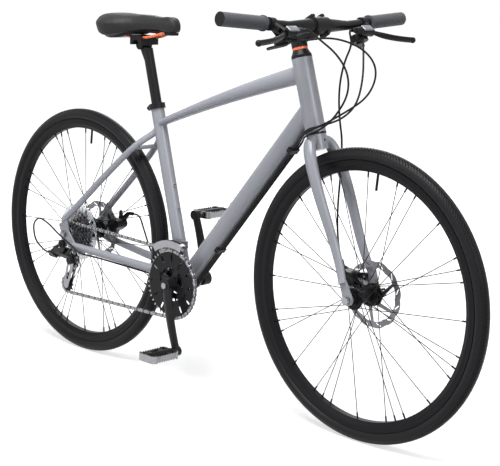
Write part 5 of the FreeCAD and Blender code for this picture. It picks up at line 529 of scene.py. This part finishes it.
def merged_copy(name, node):
    """Copy of a CAD piece with its loose triangles joined."""
    piece = bpy.data.objects.new(name, nodes[node].data.copy())
    scene.collection.objects.link(piece)
    select_only(piece)
    bpy.ops.object.mode_set(mode="EDIT")
    bpy.ops.mesh.select_all(action="SELECT")
    bpy.ops.mesh.remove_doubles(threshold=MERGE_GAP)
    bpy.ops.object.mode_set(mode="OBJECT")
    return piece


def deselect_faces():
    """Leaves no face of the active piece selected."""
    bpy.ops.object.mode_set(mode="EDIT")
    bpy.ops.mesh.select_mode(type="FACE")
    bpy.ops.mesh.select_all(action="DESELECT")
    bpy.ops.object.mode_set(mode="OBJECT")


def in_cage(middle):
    """True for a link that lies round one of the two pulleys."""
    near = middle.z < CAGED_BELOW and middle.x < CAGED_BEHIND
    return near and (middle.x < LOWER_RUN_START or middle.z > LOWER_RUN_TOP)


def chain_piece(name, caged):
    """Copy of the chain with the links in the cage alone, or with the others alone."""
    piece = merged_copy(name, "chain")
    deselect_faces()
    for faces in loose_parts(piece.data):
        low, high = box_of(piece.data, faces)
        for face in faces:
            face.select = in_cage((low + high) / 2) != caged
    bpy.ops.object.mode_set(mode="EDIT")
    bpy.ops.mesh.delete(type="FACE")
    bpy.ops.object.mode_set(mode="OBJECT")
    bpy.ops.object.shade_smooth_by_angle(angle=SMOOTH_ANGLE)
    return piece


dark_steel = finish("dark_steel", DARK_STEEL, roughness=0.26, metal=1.0, drift=0.35, roughness_drift=0.3,
                    cloud=60.0, grain=2200.0)
dress(steel, "chain", "cassette")
dress_parts(dark_steel, "chain", lambda size: size.y < INNER_LINK_WIDTH)
for name, caged, body in (("chain_in_cage", True, "derailleur_cage"), ("chain_on_rings", False, "frame")):
    piece = chain_piece(name, caged)
    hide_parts("chain")
    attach(piece, body)

# Derailleurs: the rear one is a black cast four-bar on the frame's hanger, with a bright pressed steel cage
# and two moulded pulleys; the front one is a dark body on the seat tube that slides a bright cage.
dress(cast_black, "rear_derailleur_mount", "derailleur_outer_link", "derailleur_inner_link",
      "derailleur_knuckle")
dress(steel, "derailleur_cage", "front_derailleur_cage")
dress(dark_steel, "front_derailleur_body")
dress(black_plastic, "guide_pulley", "tension_pulley")

# Wheels: black box-section rims, each laced with black steel spokes to a black hub.
# A plated steel axle with a black skewer lever clamps each wheel in its dropouts.
RIM_BLACK = (0.006, 0.006, 0.007, 1)
SPOKE_BLACK = (0.010, 0.010, 0.010, 1)
rim_black = finish("rim_black", RIM_BLACK, roughness=0.36, drift=0.3, specular=0.1)
spoke_black = finish("spoke_black", SPOKE_BLACK, roughness=0.5, drift=0.3, specular=0.12)
dress(rim_black, "front_rim", "rear_rim")
dress(spoke_black, "front_spokes", "rear_spokes")
dress(cast_black, "front_hub", "rear_hub", "front_skewer_lever", "rear_skewer_lever")
dress(steel, "front_axle", "rear_axle")

# Spoke protector: a clear plastic disc behind the cogs, moulded in one piece.
# It is pressed on the rear hub, and in the CAD it is part of the hub's piece.
PROTECTOR_CLEAR = (0.72, 0.76, 0.78, 1)
PROTECTOR_CLEARNESS = 0.75
PROTECTOR_LIMIT = 0.0300
PROTECTOR_SIDE = -0.0230
REAR_AXLE = Vector((-0.508, 0, 0.344))
protector_clear = finish("protector_clear", PROTECTOR_CLEAR, roughness=0.25, drift=0.05, strength=0.05)
protector_shader = protector_clear.node_tree.nodes["Principled BSDF"]
protector_shader.inputs["Transmission Weight"].default_value = PROTECTOR_CLEARNESS
dress_where(protector_clear, "rear_hub",
            lambda middle: middle.y < PROTECTOR_SIDE and from_axle(middle, REAR_AXLE) > PROTECTOR_LIMIT)

# Tyres: black rubber on a woven casing, with wavy cuts across the tread between two shallow ring grooves.
# One short length of tread is modelled and repeated round the axle.
TYRE_BLACK = (0.010, 0.010, 0.011, 1)
FRONT_AXLE = Vector((0.508, 0, 0.344))
TYRE_RADIUS = 0.344
TYRE_HALF = 0.0175
TREAD_HALF = 0.016
TREAD_DROP = 0.011
BEAD_HALF = 0.0105
BEAD_RADIUS = 0.311
HOOK_RADIUS = 0.3155
CASING = 0.0024
TREAD_LENGTHS = 120
LENGTH_STEPS = 6
CROWN_STEPS = 18
WALL_STEPS = 5
CUT_DEPTH = 0.0016
CUT_WIDTH = 0.0004
WAVE_FROM = 0.22
WAVE_TO = 0.86
WAVE_SLANT = 9
WAVE_PITCH = 3
GROOVE_FROM = 0.10
GROOVE_TO = 0.20
SEAM_GAP = 0.00005
tyre_rubber = finish("tyre_rubber", TYRE_BLACK, roughness=0.42, drift=0.35, grain=900.0, depth=0.00012,
                     strength=0.3, specular=0.11)


def arc_through(first, middle, last, steps):
    """Points of the arc through three places in a plane, without the last one."""
    (ax, ay), (bx, by), (cx, cy) = first, middle, last
    twice = 2 * (ax * (by - cy) + bx * (cy - ay) + cx * (ay - by))
    squares = (ax * ax + ay * ay, bx * bx + by * by, cx * cx + cy * cy)
    centre = Vector(((squares[0] * (by - cy) + squares[1] * (cy - ay) + squares[2] * (ay - by)) / twice,
                     (squares[0] * (cx - bx) + squares[1] * (ax - cx) + squares[2] * (bx - ax)) / twice))
    start, end = Vector(first) - centre, Vector(last) - centre
    turn = start.angle_signed(end)
    through = start.angle_signed(Vector(middle) - centre)
    if turn * through < 0:
        turn += 2 * pi if turn < 0 else -2 * pi
    return [centre + Matrix.Rotation(-turn * step / steps, 2) @ start for step in range(steps)]


def tyre_section():
    """Outline of the tyre, from bead to bead outside and back inside, as radius and side."""
    shoulder = TYRE_RADIUS - TREAD_DROP
    wall = (shoulder + HOOK_RADIUS) / 2
    bead_in = BEAD_HALF - CASING
    outside = [Vector((BEAD_RADIUS, -BEAD_HALF))]
    outside += arc_through((HOOK_RADIUS, -BEAD_HALF), (wall, -TYRE_HALF), (shoulder, -TREAD_HALF), WALL_STEPS)
    outside += arc_through((shoulder, -TREAD_HALF), (TYRE_RADIUS, 0), (shoulder, TREAD_HALF), CROWN_STEPS)
    outside += arc_through((shoulder, TREAD_HALF), (wall, TYRE_HALF), (HOOK_RADIUS, BEAD_HALF), WALL_STEPS)
    outside += [Vector((HOOK_RADIUS, BEAD_HALF)), Vector((BEAD_RADIUS, BEAD_HALF))]
    inside = [Vector((BEAD_RADIUS, bead_in)), Vector((wall, TYRE_HALF - CASING)),
              Vector((TYRE_RADIUS - 2 * CASING, 0)), Vector((wall, CASING - TYRE_HALF)),
              Vector((BEAD_RADIUS, -bead_in))]
    return outside + inside


def treaded_tyre(name, axle):
    """Tyre whose tread is cut in one short length of its skin, which is then spun round the axle."""
    section = tyre_section()
    rows = len(section)
    sweep = 2 * pi / TREAD_LENGTHS
    bpy.ops.object.select_all(action="DESELECT")
    bpy.ops.mesh.primitive_grid_add(x_subdivisions=LENGTH_STEPS, y_subdivisions=rows, size=1)
    piece = bpy.context.object
    piece.name = name
    for vertex in piece.data.vertices:
        row = round((vertex.co.y + 0.5) * rows) % rows
        angle = (vertex.co.x + 0.5) * sweep
        radius, aside = section[row]
        vertex.co = axle + Vector((radius * sin(angle), aside, radius * cos(angle)))
    deselect_faces()
    for polygon in piece.data.polygons:
        middle = polygon.center - axle
        share = abs(middle.y) / TREAD_HALF
        turned = Vector((middle.x, middle.z)).angle_signed(Vector((0, 1))) % (2 * pi)
        step = int(turned / sweep * LENGTH_STEPS)
        crown = hypot(middle.x, middle.z) > TYRE_RADIUS - TREAD_DROP
        wave = WAVE_FROM < share < WAVE_TO and (step + int(share * WAVE_SLANT)) % WAVE_PITCH == 0
        groove = GROOVE_FROM < share < GROOVE_TO
        polygon.select = crown and (wave or groove)
    bpy.ops.object.mode_set(mode="EDIT")
    bpy.ops.mesh.inset(thickness=CUT_WIDTH, depth=-CUT_DEPTH, use_boundary=False)
    bpy.ops.mesh.select_all(action="SELECT")
    bpy.ops.mesh.spin(steps=TREAD_LENGTHS - 1, dupli=True, angle=-sweep * (TREAD_LENGTHS - 1), center=axle,
                      axis=(0, 1, 0))
    bpy.ops.mesh.select_all(action="SELECT")
    bpy.ops.mesh.remove_doubles(threshold=SEAM_GAP)
    bpy.ops.mesh.normals_make_consistent(inside=False)
    bpy.ops.object.mode_set(mode="OBJECT")
    bpy.ops.object.shade_smooth_by_angle(angle=SMOOTH_ANGLE)
    return piece


for side, axle in (("front", FRONT_AXLE), ("rear", REAR_AXLE)):
    piece = treaded_tyre(side + "_tyre_tread", axle)
    piece.data.materials.append(tyre_rubber)
    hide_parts(side + "_tyre")
    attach(piece, side + "_wheel")

# Saddle and seatpost: moulded foam under a stretched black cover on a plastic base, with orange steel rails.
# A two-jaw clamp holds the rails on a black alloy post, and a bolted collar holds the post in the seat tube.
SADDLE_BLACK = (0.013, 0.013, 0.014, 1)
SKIN_STEP = 0.005
SKIN_SMOOTHING = 3
SKIN_EASE = 0.5
SKIN_LEVELS = 1
HELD_BELOW = -0.5
SHOULDER_FILL = 0.006
FILL_PEAK = 4
PAD_PRESSURE = 4.0
PAD_FRAMES = 20
PAD_SWELL = 0.004
RAIL_LINE = (
    (-0.3180, 0.0230, 0.8965), (-0.2900, 0.0222, 0.8972), (-0.2500, 0.0220, 0.8967),
    (-0.2200, 0.0197, 0.8999), (-0.2000, 0.0163, 0.9046), (-0.1700, 0.0142, 0.9110))
RAIL_REACH = 0.0043
JAW_BACK = -0.2872
JAW_FRONT = -0.2423


def on_rail(middle):
    """True on the rails outside the clamp, and false on the clamp and the base."""
    if JAW_BACK < middle.x < JAW_FRONT:
        return False
    for (x, y, z), (next_x, next_y, next_z) in zip(RAIL_LINE, RAIL_LINE[1:]):
        if x <= middle.x <= next_x:
            share = (middle.x - x) / (next_x - x)
            aside = abs(middle.y) - y - (next_y - y) * share
            above = middle.z - z - (next_z - z) * share
            return hypot(aside, above) < RAIL_REACH
    return False


def padded_saddle():
    """Cover swollen by the foam inside it, with its underside held by the base."""
    piece = merged_copy("saddle_padding", "saddle_cover")
    remesh = piece.modifiers.new("even_skin", "REMESH")
    remesh.mode = "VOXEL"
    remesh.voxel_size = SKIN_STEP
    bpy.ops.object.modifier_apply(modifier=remesh.name)
    smooth = piece.modifiers.new("drawn_edges", "SMOOTH")
    smooth.factor = SKIN_EASE
    smooth.iterations = SKIN_SMOOTHING
    bpy.ops.object.modifier_apply(modifier=smooth.name)
    halves = {}
    for vertex in piece.data.vertices:
        slice_number = round(vertex.co.x / SKIN_STEP)
        halves[slice_number] = max(halves.get(slice_number, 0), abs(vertex.co.y))
    for vertex in piece.data.vertices:
        share = abs(vertex.co.y) / halves[round(vertex.co.x / SKIN_STEP)]
        vertex.co.z += SHOULDER_FILL * FILL_PEAK * (share ** 2 - share ** 4) * max(vertex.normal.z, 0)
    held = piece.vertex_groups.new(name="held")
    held.add([vertex.index for vertex in piece.data.vertices if vertex.normal.z < HELD_BELOW], 1.0, "REPLACE")
    start = [vertex.co.copy() for vertex in piece.data.vertices]
    cloth = piece.modifiers.new("padding", "CLOTH")
    cloth.settings.use_pressure = True
    cloth.settings.uniform_pressure_force = PAD_PRESSURE
    cloth.settings.effector_weights.gravity = 0
    cloth.settings.vertex_group_mass = held.name
    for step in range(1, PAD_FRAMES + 1):
        scene.frame_set(step)
    bpy.ops.object.modifier_apply(modifier=cloth.name)
    for vertex, place in zip(piece.data.vertices, start):
        moved = vertex.co - place
        if moved.length > PAD_SWELL:
            vertex.co = place + moved.normalized() * PAD_SWELL
    scene.frame_set(1)
    finer = piece.modifiers.new("finer_skin", "SUBSURF")
    finer.levels = SKIN_LEVELS
    finer.render_levels = SKIN_LEVELS
    bpy.ops.object.modifier_apply(modifier=finer.name)
    bpy.ops.object.shade_smooth()
    return piece


saddle_skin = finish("saddle_skin", SADDLE_BLACK, roughness=0.5, drift=0.25, grain=1600.0, depth=0.00015,
                     strength=0.4, specular=0.22)
dress(black_alloy, "seat_clamp", "seatpost")
dress(black_plastic, "saddle_rails")
dress_where(accent_orange, "saddle_rails", on_rail)
dress(saddle_skin, "saddle_cover")
saddle = padded_saddle()
saddle.data.materials.clear()
saddle.data.materials.append(saddle_skin)
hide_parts("saddle_cover")
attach(saddle, "saddle")
